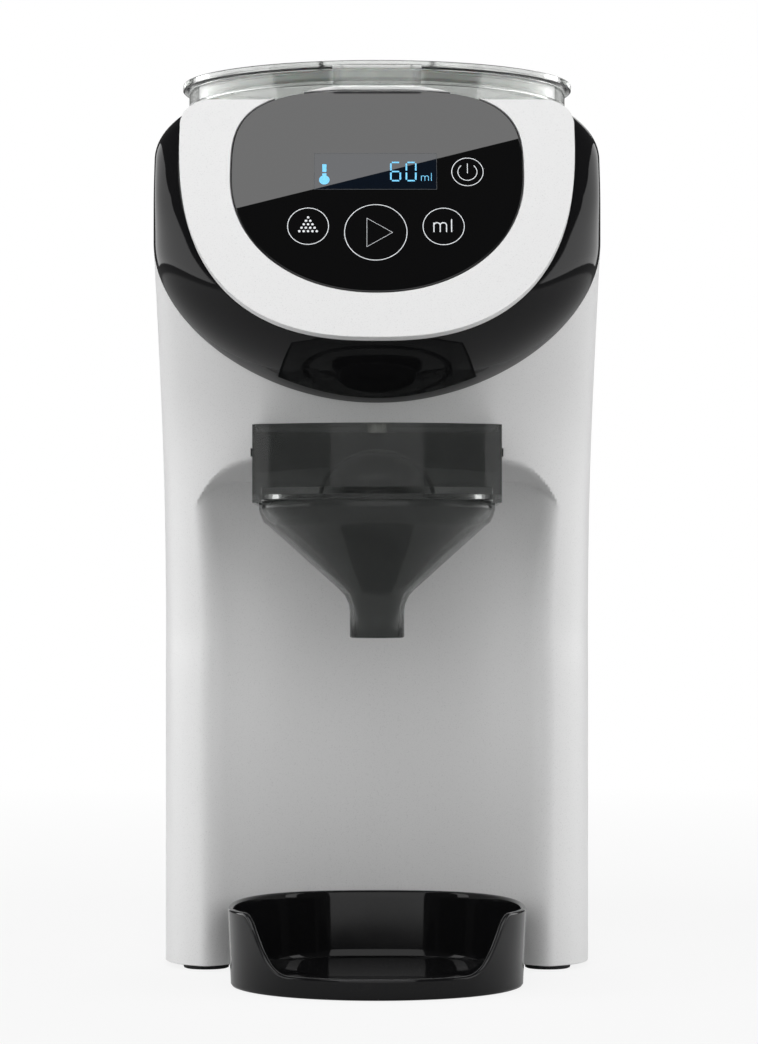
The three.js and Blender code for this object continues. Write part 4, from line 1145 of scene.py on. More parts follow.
    def bay(self, grow: float) -> Piece:
        """Returns the block that the funnel slides into, grown by a wall."""
        half = self.groove_half + grow if grow else self.bay_half
        return slab("bay", (-half, AT.front, self.bay_low),
                    (half, self.bay_rear + grow, self.bay_roof + grow))

    def tank_bay(self, grow: float) -> Piece:
        """Returns the block of the rear shelf that carries the water tank, grown by a wall."""
        wide = 2 * AT.half_width
        return slab("tank_bay", (-wide, AT.tank_front - AT.gap - grow, AT.ledge - grow),
                    (wide, AT.back + AT.over, AT.deck + AT.over))

    def face_cut(self) -> Piece:
        """Makes the block in front of the back of the slanted face plate.

        Returns:
            The block.
        """
        reach = AT.back
        block = slab("face_cut", (-reach, -2 * reach, -reach), (reach, 0, reach))
        shift = Matrix.Translation((0, (FACE.plate + AT.gap) * MM, 0))
        turn = Matrix.Rotation(-FACE.tilt, 4, "X")
        place = Matrix.Translation((0, FACE.foot_y * MM, FACE.foot_z * MM))
        block.data.transform(place @ turn @ shift)
        return block

    def lean_cut(self, side: int) -> Piece:
        """Makes what is cut away where the trim band's seam leans back.

        Args:
            side: -1 for the left, 1 for the right.

        Returns:
            The closed tool.
        """
        low, high = AT.trim_lean_from, AT.deck + AT.over
        profile = [(AT.front, low), (AT.front, high)]
        profile += [(AT.seam(z), z) for z in spaced(high, low, self.lean_steps)]
        ends = sorted((side * AT.trim_lean_half, side * 2 * AT.half_width))
        return wrapped_skin("lean_cut", [[(x, y, z) for y, z in profile] for x in ends])

    def deck_tool(self, name: str, inset: float, low: float) -> Piece:
        """Makes a tool of the deck's shape that reaches past the top.

        Args:
            name: Name of the tool.
            inset: How far it is moved in from the deck's edge.
            low: Height of its underside.

        Returns:
            The tool.
        """
        outline = rounded_rectangle(self.deck_half, self.deck_ends, self.deck_corners, inset,
                                    self.corner_steps)
        return raised(name, outline, low, AT.deck + AT.over)

    def build(self) -> list[Piece]:
        """Models the housing in one and parts it.

        Returns:
            The dressed front and rear housings.
        """
        wall, high = self.wall, AT.deck + AT.over
        wide, reach = 2 * AT.half_width, AT.back + AT.over
        hollow = self.form("hollow", AT.deck - self.top_wall, wall)
        combine_all(hollow, [self.bay(wall), self.tank_bay(wall)])
        whole = self.form("housing", AT.deck, 0)
        gland_x, gland_z = self.gland_place
        roof_hole = (self.bay_roof - wall, self.bay_roof + 2 * wall, 0)
        combine_all(whole, [
            hollow,
            self.bay(0),
            slab("grooves", (-self.groove_half, AT.front, self.groove_low),
                 (self.groove_half, self.bay_rear, self.groove_high)),
            self.tank_bay(0),
            self.face_cut(),
            slab("front", (-wide, AT.front - AT.over, 0), (wide, AT.trim, high)),
            *(self.lean_cut(side) for side in SIDES),
            self.deck_tool("deck_hole", self.deck_ledge, AT.deck - self.top_wall - wall),
            self.deck_tool("deck_rebate", -AT.gap, AT.deck - self.deck_thickness - AT.gap),
            rod("chute_hole", self.chute_radius, *roof_hole, self.chute_y),
            rod("water_hole", self.water_radius, *roof_hole, self.water_y),
            slab("tongue_slot", (-self.slot_half, AT.axis, self.slot_low),
                 (self.slot_half, AT.axis + self.alcove_radius + 2 * wall, self.slot_high)),
            cylinder("gland_hole", self.gland_radius, self.rear_radius,
                     (gland_x, AT.housing_back, gland_z), (math.pi / 2, 0, 0), sides=64),
            rod("socket_hole", self.socket_radius, AT.ledge - 2 * wall, AT.ledge + wall, 0, AT.socket),
        ])
        rear = whole.copy()
        rear.data = whole.data.copy()
        bpy.context.scene.collection.objects.link(rear)
        pieces = []
        for piece, side, name, node in ((whole, -1, "front_housing", "body_shell"),
                                        (rear, 1, "rear_cover", "rear_housing")):
            near, far = sorted((AT.split + side * AT.gap / 2, side * reach))
            combine(piece, slab("part", (-wide, near, -AT.over), (wide, far, high)), Cut.KEEP)
            piece = smoothed(finished(piece, name))
            pieces.append(fit(piece, Finish.WHITE, Body.HOUSING, node))
        return pieces

    def edge(self, angle: float, inset: float) -> Point:
        """The housing's edge in the trim plane, straight out from the face's middle.

        Args:
            angle: Turn from straight down.
            inset: Distance inwards from the outer surface.

        Returns:
            The point on the edge.
        """
        near, far = 0.0, AT.half_width * 2
        for _ in range(self.search_steps):
            reach = (near + far) / 2
            x, z = abs(reach * math.sin(angle)), FACE.middle - reach * math.cos(angle)
            inside = z <= AT.deck - inset and x <= self.half(z, inset)
            if inside and self.nose(x, z, inset) < AT.seam(z):
                near = reach
            else:
                far = reach
        z = FACE.middle - near * math.cos(angle)
        return near * math.sin(angle), AT.seam(z), z


@dataclass
class Face:
    """The slanted face: its white plate and the black touch panel in it.

    Places on it are u across, v up the slant from the foot, and w out towards the user.
    """

    tilt: float = math.radians(22.6)
    foot_y: float = -130.0
    foot_z: float = 216.2
    middle: float = 254.0
    plate: float = 2.8
    plate_edge: float = 0.55
    half: float = 66.5
    round_height: float = 75.0
    power: float = 2.5
    top: float = 89.4
    corner: float = 10.0
    bump: float = 5.2
    bump_half: float = 39.0
    bump_ramp: float = 27.0
    lens_half: float = 49.0
    lens_middle: float = 60.0
    lens_up: float = 33.0
    lens_down: float = 43.4
    lens_up_power: float = 3.3
    lens_down_power: float = 2.1
    lens_thickness: float = 1.8
    lens_edge: float = 0.5
    lens_edge_steps: int = 4
    lens_ledge: float = 3.0
    board_depth: float = 7.2
    post_radius: float = 2.4
    posts: tuple[Flat, ...] = ((50, 76), (40, 28))
    steps: int = 72
    corner_steps: int = 12
    bump_steps: int = 24

    def on(self, u: float, v: float, w: float) -> Point:
        """Returns the place of a point of the face."""
        sin, cos = math.sin(self.tilt), math.cos(self.tilt)
        return u, self.foot_y + v * sin - w * cos, self.foot_z + v * cos + w * sin

    def laid(self, piece: Piece) -> Piece:
        """Lays a piece that was drawn flat on the slant.

        Args:
            piece: The piece.

        Returns:
            The piece.
        """
        sin, cos = math.sin(self.tilt), math.cos(self.tilt)
        rows = ((1, 0, 0, 0), (0, sin, -cos, self.foot_y * MM), (0, cos, sin, self.foot_z * MM),
                (0, 0, 0, 1))
        piece.data.transform(Matrix(rows))
        return piece

    def outline(self, inset: float) -> list[Flat]:
        """The face's outline, counter-clockwise from the foot.

        Args:
            inset: Distance inwards.

        Returns:
            Its points as u and v.
        """
        right = []
        for angle in spaced(0, math.pi / 2, self.steps):
            drop, across = superellipse(angle, self.round_height - inset, self.half - inset, self.power)
            right.append((across, self.round_height - drop))
        right += quarter(self.half - self.corner, self.top - self.corner, self.corner - inset, 0,
                         self.corner_steps)[1:]
        for share in spaced(1, 0, self.bump_steps):
            u = self.bump_half * share
            rise = self.bump * ease((self.bump_half - u) / self.bump_ramp)
            right.append((u, self.top + rise - inset))
        return right + [(-u, v) for u, v in reversed(right[1:-1])]

    def lens_outline(self, inset: float) -> list[Flat]:
        """The touch panel's outline, counter-clockwise.

        Args:
            inset: Distance inwards.

        Returns:
            Its points as u and v.
        """
        points = []
        for angle in spaced(0, 2 * math.pi, 2 * self.steps)[:-1]:
            upper = math.sin(angle) > 0
            power = self.lens_up_power if upper else self.lens_down_power
            reach = (self.lens_up if upper else self.lens_down) - inset
            u, v = superellipse(angle, self.lens_half - inset, reach, power)
            points.append((u, self.lens_middle + v))
        return points

    def face_plate(self) -> Piece:
        """Models the white plate with its round edge, the panel's rebate and a fine rim.

        Returns:
            The dressed plate.
        """
        plate = raised("face_bezel", self.outline(0), -self.plate, 0)
        posts = [rod("post", self.post_radius, AT.gap - self.board_depth, -self.plate / 2, side * u, v)
                 for side in SIDES for u, v in self.posts]
        combine_all(plate, posts, Cut.JOIN)
        combine_all(plate, [
            raised("rebate", self.lens_outline(-AT.gap), -self.lens_thickness - AT.gap, AT.over),
            raised("window", self.lens_outline(self.lens_ledge), -AT.over, AT.over)])
        round_edges(plate, self.plate_edge)
        return fit(evened(self.laid(plate)), Finish.WHITE, Body.HOUSING, "face_plate")

    def panel(self) -> Piece:
        """Models the black touch panel with a ground edge.

        Returns:
            The dressed panel.
        """
        glass = raised("touch_glass", self.lens_outline(0), -self.lens_thickness, 0)
        round_edges(glass, self.lens_edge, self.lens_edge_steps)
        return fit(evened(self.laid(glass), WIDE_ANGLE), Finish.PANEL, Body.HOUSING, "panel_lens")

    def build(self) -> list[Piece]:
        """Returns the dressed plate and panel."""
        return [self.face_plate(), self.panel()]

    def edge(self, angle: float, inset: float, w: float) -> Point:
        """The outline's edge straight out from the face's middle.

        Args:
            angle: Turn from straight down.
            inset: Distance inwards.
            w: Height over the face.

        Returns:
            The point on the edge.
        """
        outline = self.outline(inset)
        centre = (self.middle - self.foot_z) / math.cos(self.tilt)
        du, dv = math.sin(angle), -math.cos(angle)
        best = 0.0
        for (u0, v0), (u1, v1) in zip(outline, outline[1:] + outline[:1]):
            cross = du * (v1 - v0) - dv * (u1 - u0)
            if not cross:
                continue
            reach = (u0 * (v1 - v0) - (v0 - centre) * (u1 - u0)) / cross
            share = (u0 * dv - (v0 - centre) * du) / cross
            if 0 <= share <= 1:
                best = max(best, reach)
        return self.on(best * du, centre + best * dv, w)


FACE = Face()
HOUSING = Housing()


@dataclass
class TrimBand:
    """The black gloss wedge between the housing's front edge and the face."""

    stations: int = 200
    sections: int = 22
    reach: float = math.radians(123.5)
    bulge: float = 6.0
    bulge_share: float = 0.62
    wall: float = 2.4
    lip: float = 6.0
    rim_radius: float = 0.45

    def section(self, angle: float) -> list[Point]:
        """One closed section of the band.

        Args:
            angle: Turn from straight down.

        Returns:
            Its points: the rounded outside, the front lip and the inside.
        """
        back = Vector(HOUSING.edge(angle, 0))
        back.y -= AT.gap
        front = Vector(FACE.edge(angle, 0, -FACE.plate - AT.gap))
        away = Vector((math.sin(angle), 0, -math.cos(angle)))
        swell = min(back.y - front.y, self.bulge)
        corner = back.lerp(front, 1 - self.bulge_share)
        corner.y = mix(back.y, front.y, self.bulge_share)
        corner += away * (swell / 2)
        outside = [tuple(back.lerp(corner, share).lerp(corner.lerp(front, share), share))
                   for share in spaced(0, 1, self.sections)]
        x, _, z = HOUSING.edge(angle, self.wall)
        return [*outside, FACE.edge(angle, self.lip, -FACE.plate - AT.gap),
                FACE.edge(angle, self.lip, -FACE.plate - self.wall), (x, back.y, z)]

    def build(self) -> list[Piece]:
        """Models the band and the bright bead along the housing's edge.

        Returns:
            Both, dressed.
        """
        angles = spaced(-self.reach, self.reach, self.stations)
        band = wrapped_skin("gloss_band", [self.section(angle) for angle in angles])
        combine(band, HOUSING.face_cut())
        fit(smoothed(band), Finish.TRIM, Body.HOUSING, "trim_band")
        edges = [HOUSING.edge(angle, self.rim_radius) for angle in angles]
        rim = bead("housing_rim", [(x, y + self.rim_radius, z) for x, y, z in edges], self.rim_radius)
        return [band, fit(rim, Finish.WHITE, Body.HOUSING)]


@dataclass
class PanelMarks:
    """Thin printed marks and lit digits on the touch panel, in the face's u and v.

    A ring is its middle and radius. A word is its lower left corner, the m's width, the m's
    and the l's heights, and half the width of a stroke.
    """

    line: float = 0.13
    edge_line: float = 0.1
    lift: float = 0.02
    circle_steps: int = 72
    arch_steps: int = 12
    play: Point = (-0.4, 38.8, 10.4)
    powder: Point = (-22.95, 41.1, 6.82)
    volume: Point = (22.2, 41.0, 6.86)
    power: Point = (30.3, 61.6, 5.26)
    power_sign: float = 3.2
    power_arc: Flat = (131, 409)
    power_bar: Flat = (-0.544, 3.2)
    play_sign: tuple[Flat, ...] = ((-3.35, 44.1), (-3.35, 33.4), (5.2, 38.75))
    heap_top: float = 44.4
    heap_step: Flat = (1.4521, 1.3)
    heap_rows: int = 5
    heap_dot: float = 0.42
    word_gap: float = 1.6
    volume_word: tuple[Flat, float, float, float, float] = ((18.95, 38.9), 4.2, 3.5, 4.8, 0.19)
    unit_word: tuple[Flat, float, float, float, float] = ((14.84, 58.2), 2.4, 1.9, 2.9, 0.12)
    bulb: Point = (-17.63, 58.55, 1.75)
    column: Flat = (61.6, 64.5)
    neck_top: float = 61.05
    column_half: float = 0.78
    digit_line: float = 0.3
    digit_trim: float = 0.36
    digits: tuple[tuple[int, Flat, Flat], ...] = (
        (6, (4.36, 57.96), (8.1, 65.49)), (0, (9.55, 57.96), (13.3, 65.49)))
    window: tuple[float, float, float, float] = (-21.0, 20.0, 55.0, 68.6)

    def stroke(self, name: str, points: Sequence[Flat], closed: bool = False,
               half: float | None = None) -> Piece:
        """A printed line on the panel.

        Args:
            name: Name of the line.
            points: Its path in u and v.
            closed: Whether it meets its own start.
            half: Half its width, or None for the usual one.

        Returns:
            The line, pressed almost flat.
        """
        half = half or self.line
        piece = bead(name, [(u, v, 0) for u, v in points], half, closed, sides=2)
        piece.data.transform(Matrix.Diagonal((1, 1, self.lift / half, 1)))
        return FACE.laid(piece)

    def circle(self, name: str, place: Point, ends: Flat | None = None) -> Piece:
        """A printed circle or arc.

        Args:
            name: Name of the line.
            place: Its middle and radius.
            ends: Its ends in degrees from the right, or None for a circle.

        Returns:
            The line.
        """
        u, v, radius = place
        start, end = ends or (0, 360)
        turns = spaced(math.radians(start), math.radians(end), self.circle_steps)
        points = [(u + radius * math.cos(turn), v + radius * math.sin(turn)) for turn in turns]
        return self.stroke(name, points if ends else points[:-1], not ends)

    def unit(self, name: str, corner: Flat, width: float, low: float, high: float,
             half: float) -> Piece:
        """The letters m and l in thin round strokes.

        Args:
            name: Name of the piece.
            corner: Their lower left corner in u and v.
            width: Width of the m.
            low: Height of the m.
            high: Height of the l.
            half: Half the width of a stroke.

        Returns:
            The letters as one mesh.
        """
        u, v = corner
        arch = width / 4
        stem = u + width + self.word_gap * arch
        paths = [[(u, v), (u, v + low)]]
        for middle in (u + arch, u + 3 * arch):
            bow = [(middle + arch * math.cos(turn), v + low - arch + arch * math.sin(turn))
                   for turn in spaced(math.pi, 0, self.arch_steps)]
            paths.append([*bow, (middle + arch, v)])
        paths.append([(stem, v), (stem, v + high)])
        return joined(name, [self.stroke(name, path, half=half) for path in paths])

    def digit(self, number: int, low: Flat, high: Flat) -> list[Piece]:
        """A seven-segment digit.

        Args:
            number: The number that it shows.
            low: Its lower left corner.
            high: Its upper right corner.

        Returns:
            The lit segments.
        """
        segments = {
            "top": ((0, 1), (1, 1)), "middle": ((0, 0.5), (1, 0.5)), "low": ((0, 0), (1, 0)),
            "upper_left": ((0, 0.5), (0, 1)), "lower_left": ((0, 0), (0, 0.5)),
            "upper_right": ((1, 0.5), (1, 1)), "lower_right": ((1, 0), (1, 0.5)),
        }
        lit = {6: ("top", "middle", "low", "upper_left", "lower_left", "lower_right"),
               0: ("top", "low", "upper_left", "lower_left", "upper_right", "lower_right")}
        strokes = []
        for part in lit[number]:
            start, end = (Vector([mix(a + self.digit_line, b - self.digit_line, share)
                                  for a, b, share in zip(low, high, place)])
                          for place in segments[part])
            trim = (end - start).normalized() * self.digit_trim
            path = [tuple(start + trim), tuple(end - trim)]
            strokes.append(self.stroke(part, path, half=self.digit_line))
        return strokes

    def dot(self, u: float, v: float, radius: float) -> Piece:
        """Returns a filled round mark."""
        return FACE.laid(rod("dot", radius, -self.lift, self.lift, u, v, sides=24))

    def heap(self) -> list[Piece]:
        """Draws the pyramid of dots that stands for powder.

        Returns:
            The dots.
        """
        across, down = self.heap_step
        return [self.dot(self.powder[0] + (column - row / 2) * across, self.heap_top - row * down,
                         self.heap_dot)
                for row in range(self.heap_rows) for column in range(row + 1)]

    def thermometer(self) -> list[Piece]:
        """Draws the thermometer sign beside the digits.

        Returns:
            Its column, neck and bulb.
        """
        u, v, radius = self.bulb
        spans = (self.column, (v, self.neck_top))
        lines = [self.stroke("column", [(u, low), (u, high)], half=self.column_half)
                 for low, high in spans]
        return [*lines, self.dot(u, v, radius)]

    def build(self) -> list[Piece]:
        """Draws every mark.

        Returns:
            The dressed marks.
        """
        u, v, _ = self.power
        low, high = self.power_bar
        bar = self.stroke("power_bar", [(u, v + low), (u, v + high)])
        # The printed marks take the print finish, whose glow is painted light.
        printed = {
            "play_key": [self.circle("ring", self.play), self.stroke("sign", self.play_sign, True)],
            "powder_key": [self.circle("ring", self.powder), *self.heap()],
            "volume_key": [self.circle("ring", self.volume), self.unit("word", *self.volume_word)],
            "power_key": [self.circle("ring", self.power),
                          self.circle("arc", (u, v, self.power_sign), self.power_arc), bar],
        }
        lit = {
            "thermometer_sign": self.thermometer(),
            "volume_digits": [stroke for digit in self.digits for stroke in self.digit(*digit)],
            "unit_word": [self.unit("unit", *self.unit_word)],
        }
        left, right, low, high = self.window
        corners = [(left, low), (right, low), (right, high), (left, high)]
        # The display's edge line has a faint painted glow from its finish.
        edge = {"display_edge": [self.stroke("edge", corners, True, self.edge_line)]}
        glass = {"display_window": [FACE.laid(raised("glass", corners, 0, self.lift / 4))]}
        return [fit(joined(name, parts), finish, Body.HOUSING)
                for marks, finish in ((printed, Finish.PRINT), (lit, Finish.DISPLAY),
                                      (edge, Finish.FAINT), (glass, Finish.WINDOW))
                for name, parts in marks.items()]


@dataclass
class Container:
    """The clear powder container, its lid and seal, and the wheel, arms and scraper inside it."""

    y: float = AT.powder
    bowl_radius: float = 48.0
    wall: float = 2.0
    bottom: float = 203.3
    floor: float = 2.2
    seat: float = 295.3
    flange: float = 2.6
    rim: float = 64.0
    rim_top: float = 309.0
    foot_round: float = 0.6
    seat_round: float = 0.8
    rim_round: float = 0.5
    lip_round: float = 0.4
    outlet: float = 7.0
    outlet_reach: float = 36.0
    spindle: float = 5.0
    spindle_land: float = 3.0
    hinge: Flat = (46.0, 303.0)
    barrel: float = 3.0
    barrel_half: float = 7.5
    ear: float = 3.5
    ear_start: float = 1.0
    pin_radius: float = 1.2
    lid_radius: float = 69.0
    lid_top: float = 312.2
    lid_thickness: float = 2.6
    lid_edge: float = 0.5
    lid_edge_steps: int = 4
    lid_middle: float = 50.4
    lid_sides: int = 160
    overlap: float = 0.1
    skirt: float = 66.8
    skirt_low: float = 304.6
    tab_half: float = 15.0
    tab_depth: float = 4.0
    tab_low: float = 303.3
    tab_root: float = 1.0
    tab_edge: float = 0.6
    seal: float = 58.4
    seal_width: float = 2.0
    seal_height: float = 3.0
    seal_bevel: Flat = (0.6, 0.7)
    seal_play: float = 0.15
    inner_edge: float = 0.25

    def pin_hole(self) -> Piece:
        """Returns the tool that bores the hinge's hole."""
        reach = 2 * self.barrel_half
        return cross_pin("pin_hole", self.pin_radius + AT.gap, -reach, reach, *self.hinge)

    def bowl(self) -> Piece:
        """Models the clear bowl with its wide rim and hinge ears.

        Returns:
            The dressed bowl.
        """
        outer, rim, rim_top = self.bowl_radius, self.rim, self.rim_top
        inner, rim_inner = outer - self.wall, rim - self.wall
        base, over = self.bottom + self.floor, AT.over
        piece = cap_ends(turned("clear_bowl", [
            (0, self.bottom), (outer - self.foot_round, self.bottom),
            (outer, self.bottom + self.foot_round), (outer, self.seat),
            (rim - self.seat_round, self.seat), (rim, self.seat + self.seat_round),
            (rim, rim_top - self.rim_round), (rim - self.rim_round, rim_top),
            (rim_inner + self.lip_round, rim_top), (rim_inner, rim_top - self.lip_round),
            (rim_inner, self.seat + self.flange), (inner, self.seat),
            (inner, base + self.seat_round), (inner - self.seat_round, base),
            (self.spindle + self.spindle_land, base)], 0, self.y))
        y, z = self.hinge
        for side in SIDES:
            near = self.barrel_half + AT.gap
            low, high = sorted((side * near, side * (near + self.ear)))
            root = self.y + rim_inner + self.ear_start
            combine_all(piece, [slab("arm", (low, root, self.seat), (high, y, z)),
                                cross_pin("ear", self.barrel, low, high, y, z)], Cut.JOIN)
        combine_all(piece, [
            self.pin_hole(),
            rod("outlet", self.outlet, self.bottom - over, self.bottom + over, 0,
                self.y - self.outlet_reach),
            rod("spindle", self.spindle, self.bottom - over, self.bottom + over, 0, self.y)])
        return fit(smoothed(piece), Finish.CLEAR, Body.CONTAINER, "container_bowl")

    def lid(self) -> Piece:
        """Models the clear lid with its skirt, pull tab and hinge barrel.

        Returns:
            The dressed lid.
        """
        outer, top, edge = self.lid_radius, self.lid_top, self.lid_edge
        bottom = top - self.lid_thickness
        inner = self.rim + 2 * AT.gap
        piece = turned("clear_lid", [
            (self.lid_middle, bottom), (inner, bottom), (inner, self.skirt_low),
            (self.skirt, self.skirt_low), (self.skirt, bottom), (outer - edge, bottom),
            (outer, bottom + edge),
            *quarter(outer - edge, top - edge, edge, 0, self.lid_edge_steps),
            (self.lid_middle, top)], 0, self.y, self.lid_sides)
        combine(piece, rod("middle", self.lid_middle + self.overlap, bottom, top, 0, self.y,
                           self.lid_sides), Cut.JOIN)
        y, z = self.hinge
        tab = slab("tab", (-self.tab_half, self.y - outer - self.tab_depth / 2, self.tab_low),
                   (self.tab_half, self.y - inner - 2 * edge, bottom + self.tab_root))
        arm = slab("arm", (-self.barrel_half, y - self.barrel - self.wall, z),
                   (self.barrel_half, y, top))
        combine(arm, rod("clear", inner, self.skirt_low - AT.over, bottom, 0, self.y, self.lid_sides))
        barrel = cross_pin("barrel", self.barrel, -self.barrel_half, self.barrel_half, y, z)
        combine_all(piece, [round_edges(tab, self.tab_edge), arm, barrel], Cut.JOIN)
        combine(piece, self.pin_hole())
        return fit(smoothed(piece), Finish.CLEAR, Body.LID, "lid_cover")

    def seal_ring(self) -> Piece:
        """Models the lid's ring seal.

        Returns:
            The dressed seal.
        """
        top = self.lid_top - self.lid_thickness
        low, high = top - self.seal_height, top - self.seal_play
        outer = self.seal + self.seal_width
        bevel, rise = self.seal_bevel
        ring = turned("seal_ring", [(self.seal, low), (outer - bevel, low), (outer, low + rise),
                                    (outer, high), (self.seal, high)], 0, self.y)
        return fit(smoothed(ring), Finish.SILICONE, Body.LID, "lid_seal")

    def build(self) -> list[Piece]:
        """Models the container and refines what is inside it.

        Returns:
            The dressed container, lid, seal and inner pieces.
        """
        pieces = [self.bowl(), self.lid(), self.seal_ring()]
        for node, name, body in (("dosing_wheel", "pocket_wheel", Body.DOSING),
                                 ("stirrer", "stirring_arms", Body.DOSING),
                                 ("powder_scraper", "scraper_blade", Body.CONTAINER)):
            piece = smoothed(round_edges(copied(node, name), self.inner_edge, SMALL_STEPS))
            pieces.append(fit(piece, Finish.NYLON, body, node))
        return pieces


@dataclass
class Funnel:
    """The smoked funnel: a round cone hung from a cover that slides into the bay.

    The cone's profile is radius and height, from the nozzle's mouth up the outside and back down.
    """

    cone_profile: tuple[Flat, ...] = (
        (7.6, 117.2), (7.9, 116.9), (8.8, 116.9), (9.2, 117.3), (9.2, 126.0), (9.55, 128.3),
        (10.8, 131.0), (12.6, 133.0), (36.2, 154.2), (38.2, 155.8), (39.4, 158.5), (39.8, 160.1),
        (39.8, 162.3), (39.4, 162.7), (38.5, 162.7), (38.2, 162.4), (38.2, 160.1), (35.96, 157.4),
        (11.4, 134.0), (9.2, 132.2), (7.6, 127.5))
    half: float = 41.2
    top: float = 187.7
    low: float = 161.8
    front_low: float = 163.0
    front_open: float = 166.8
    corner_y: float = -125.0
    nose_y: float = -140.0
    rear_y: float = -58.0
    rear_step: float = 0.6
    wall: float = 1.3
    post: float = 3.2
    shelf: float = 1.6
    hole: float = 36.0
    dome: float = 20.0
    dome_top: float = 180.4
    dome_flat: float = 0.3
    dome_steps: int = 16
    tongue_depth: float = 1.6
    tongue_low: float = 178.9
    tongue_height: float = 2.2
    tongue_run: float = 17.0
    spoke_half: float = 1.2
    edge: float = 0.3
    front_steps: int = 48

    def cone(self) -> Piece:
        """Returns the smoked cone with its rounded shoulder and nozzle."""
        piece = turned("funnel_bowl", self.cone_profile, 0, AT.axis, sides=144)
        return fit(smoothed(piece, WIDE_ANGLE), Finish.SMOKE, Body.FUNNEL, "funnel_cone")

    def outline(self, inset: float) -> list[Flat]:
        """The cover's outline, bowed in front.

        Args:
            inset: How far it is moved in.

        Returns:
            Its points, counter-clockwise.
        """
        sag = self.corner_y - self.nose_y
        radius = (self.half**2 + sag**2) / (2 * sag)
        half, reach = self.half - inset, radius - inset
        sweep = math.asin(half / reach)
        front = [(reach * math.sin(turn), self.nose_y + radius - reach * math.cos(turn))
                 for turn in spaced(-sweep, sweep, self.front_steps)]
        return [*front, (half, self.rear_y - inset), (-half, self.rear_y - inset)]

    def domed(self, radius: float, top: float, low: float) -> Piece:
        """A solid dome over the funnel's middle.

        Args:
            radius: Its radius.
            top: Its top.
            low: Its underside.

        Returns:
            The dome.
        """
        arc = [(radius * math.cos(turn), mix(self.front_low, top, math.sin(turn)))
               for turn in spaced(0, math.pi / 2, self.dome_steps)[1:-1]]
        profile = [(0, low), (radius, low), *arc, (self.dome_flat, top)]
        return cap_ends(turned("dome", profile, 0, AT.axis, sides=96))

    def cover(self) -> Piece:
        """Models the smoked cover with its open front, shelf, dome and side tongues.

        Returns:
            The dressed cover.
        """
        over, half, low = AT.over, self.half, self.front_low
        piece = raised("funnel_cover_shell", self.outline(0), self.low, self.top)
        combine_all(piece, [
            raised("inside", self.outline(self.wall), self.low - over, self.top + over),
            slab("open_front", (self.post - half, AT.front, self.low - over),
                 (half - self.post, self.corner_y + over, self.front_open)),
            slab("open_rear", (-half - self.rear_step, self.rear_y - 2 * over, self.low - over),
                 (half + self.rear_step, self.rear_y + self.rear_step, low))])
        ledge = raised("ledge", self.outline(self.wall / 2), low, low + self.shelf)
        combine(ledge, rod("hole", self.hole, self.low, self.top, 0, AT.axis, sides=128))
        reach = self.hole + self.wall
        spokes = slab("spokes", (-reach, AT.axis - self.spoke_half, low),
                      (reach, AT.axis + self.spoke_half, low + self.shelf))
        combine(spokes, self.domed(self.dome, self.dome_top, low), Cut.JOIN)
        combine(spokes, self.domed(self.dome - self.wall, self.dome_top - self.wall, low - over))
        combine_all(piece, [ledge, spokes], Cut.JOIN)
        for side in SIDES:
            near, far = sorted((side * (half - self.wall / 2), side * (half + self.tongue_depth)))
            combine(piece, slab("tongue", (near, self.rear_y - self.tongue_run, self.tongue_low),
                                (far, self.rear_y, self.tongue_low + self.tongue_height)), Cut.JOIN)
        round_edges(piece, self.edge, SMALL_STEPS, WIDE_ANGLE)
        return fit(evened(piece), Finish.SMOKE, Body.FUNNEL, "funnel_cover")

    def build(self) -> list[Piece]:
        """Returns the dressed cone and cover."""
        return [self.cone(), self.cover()]


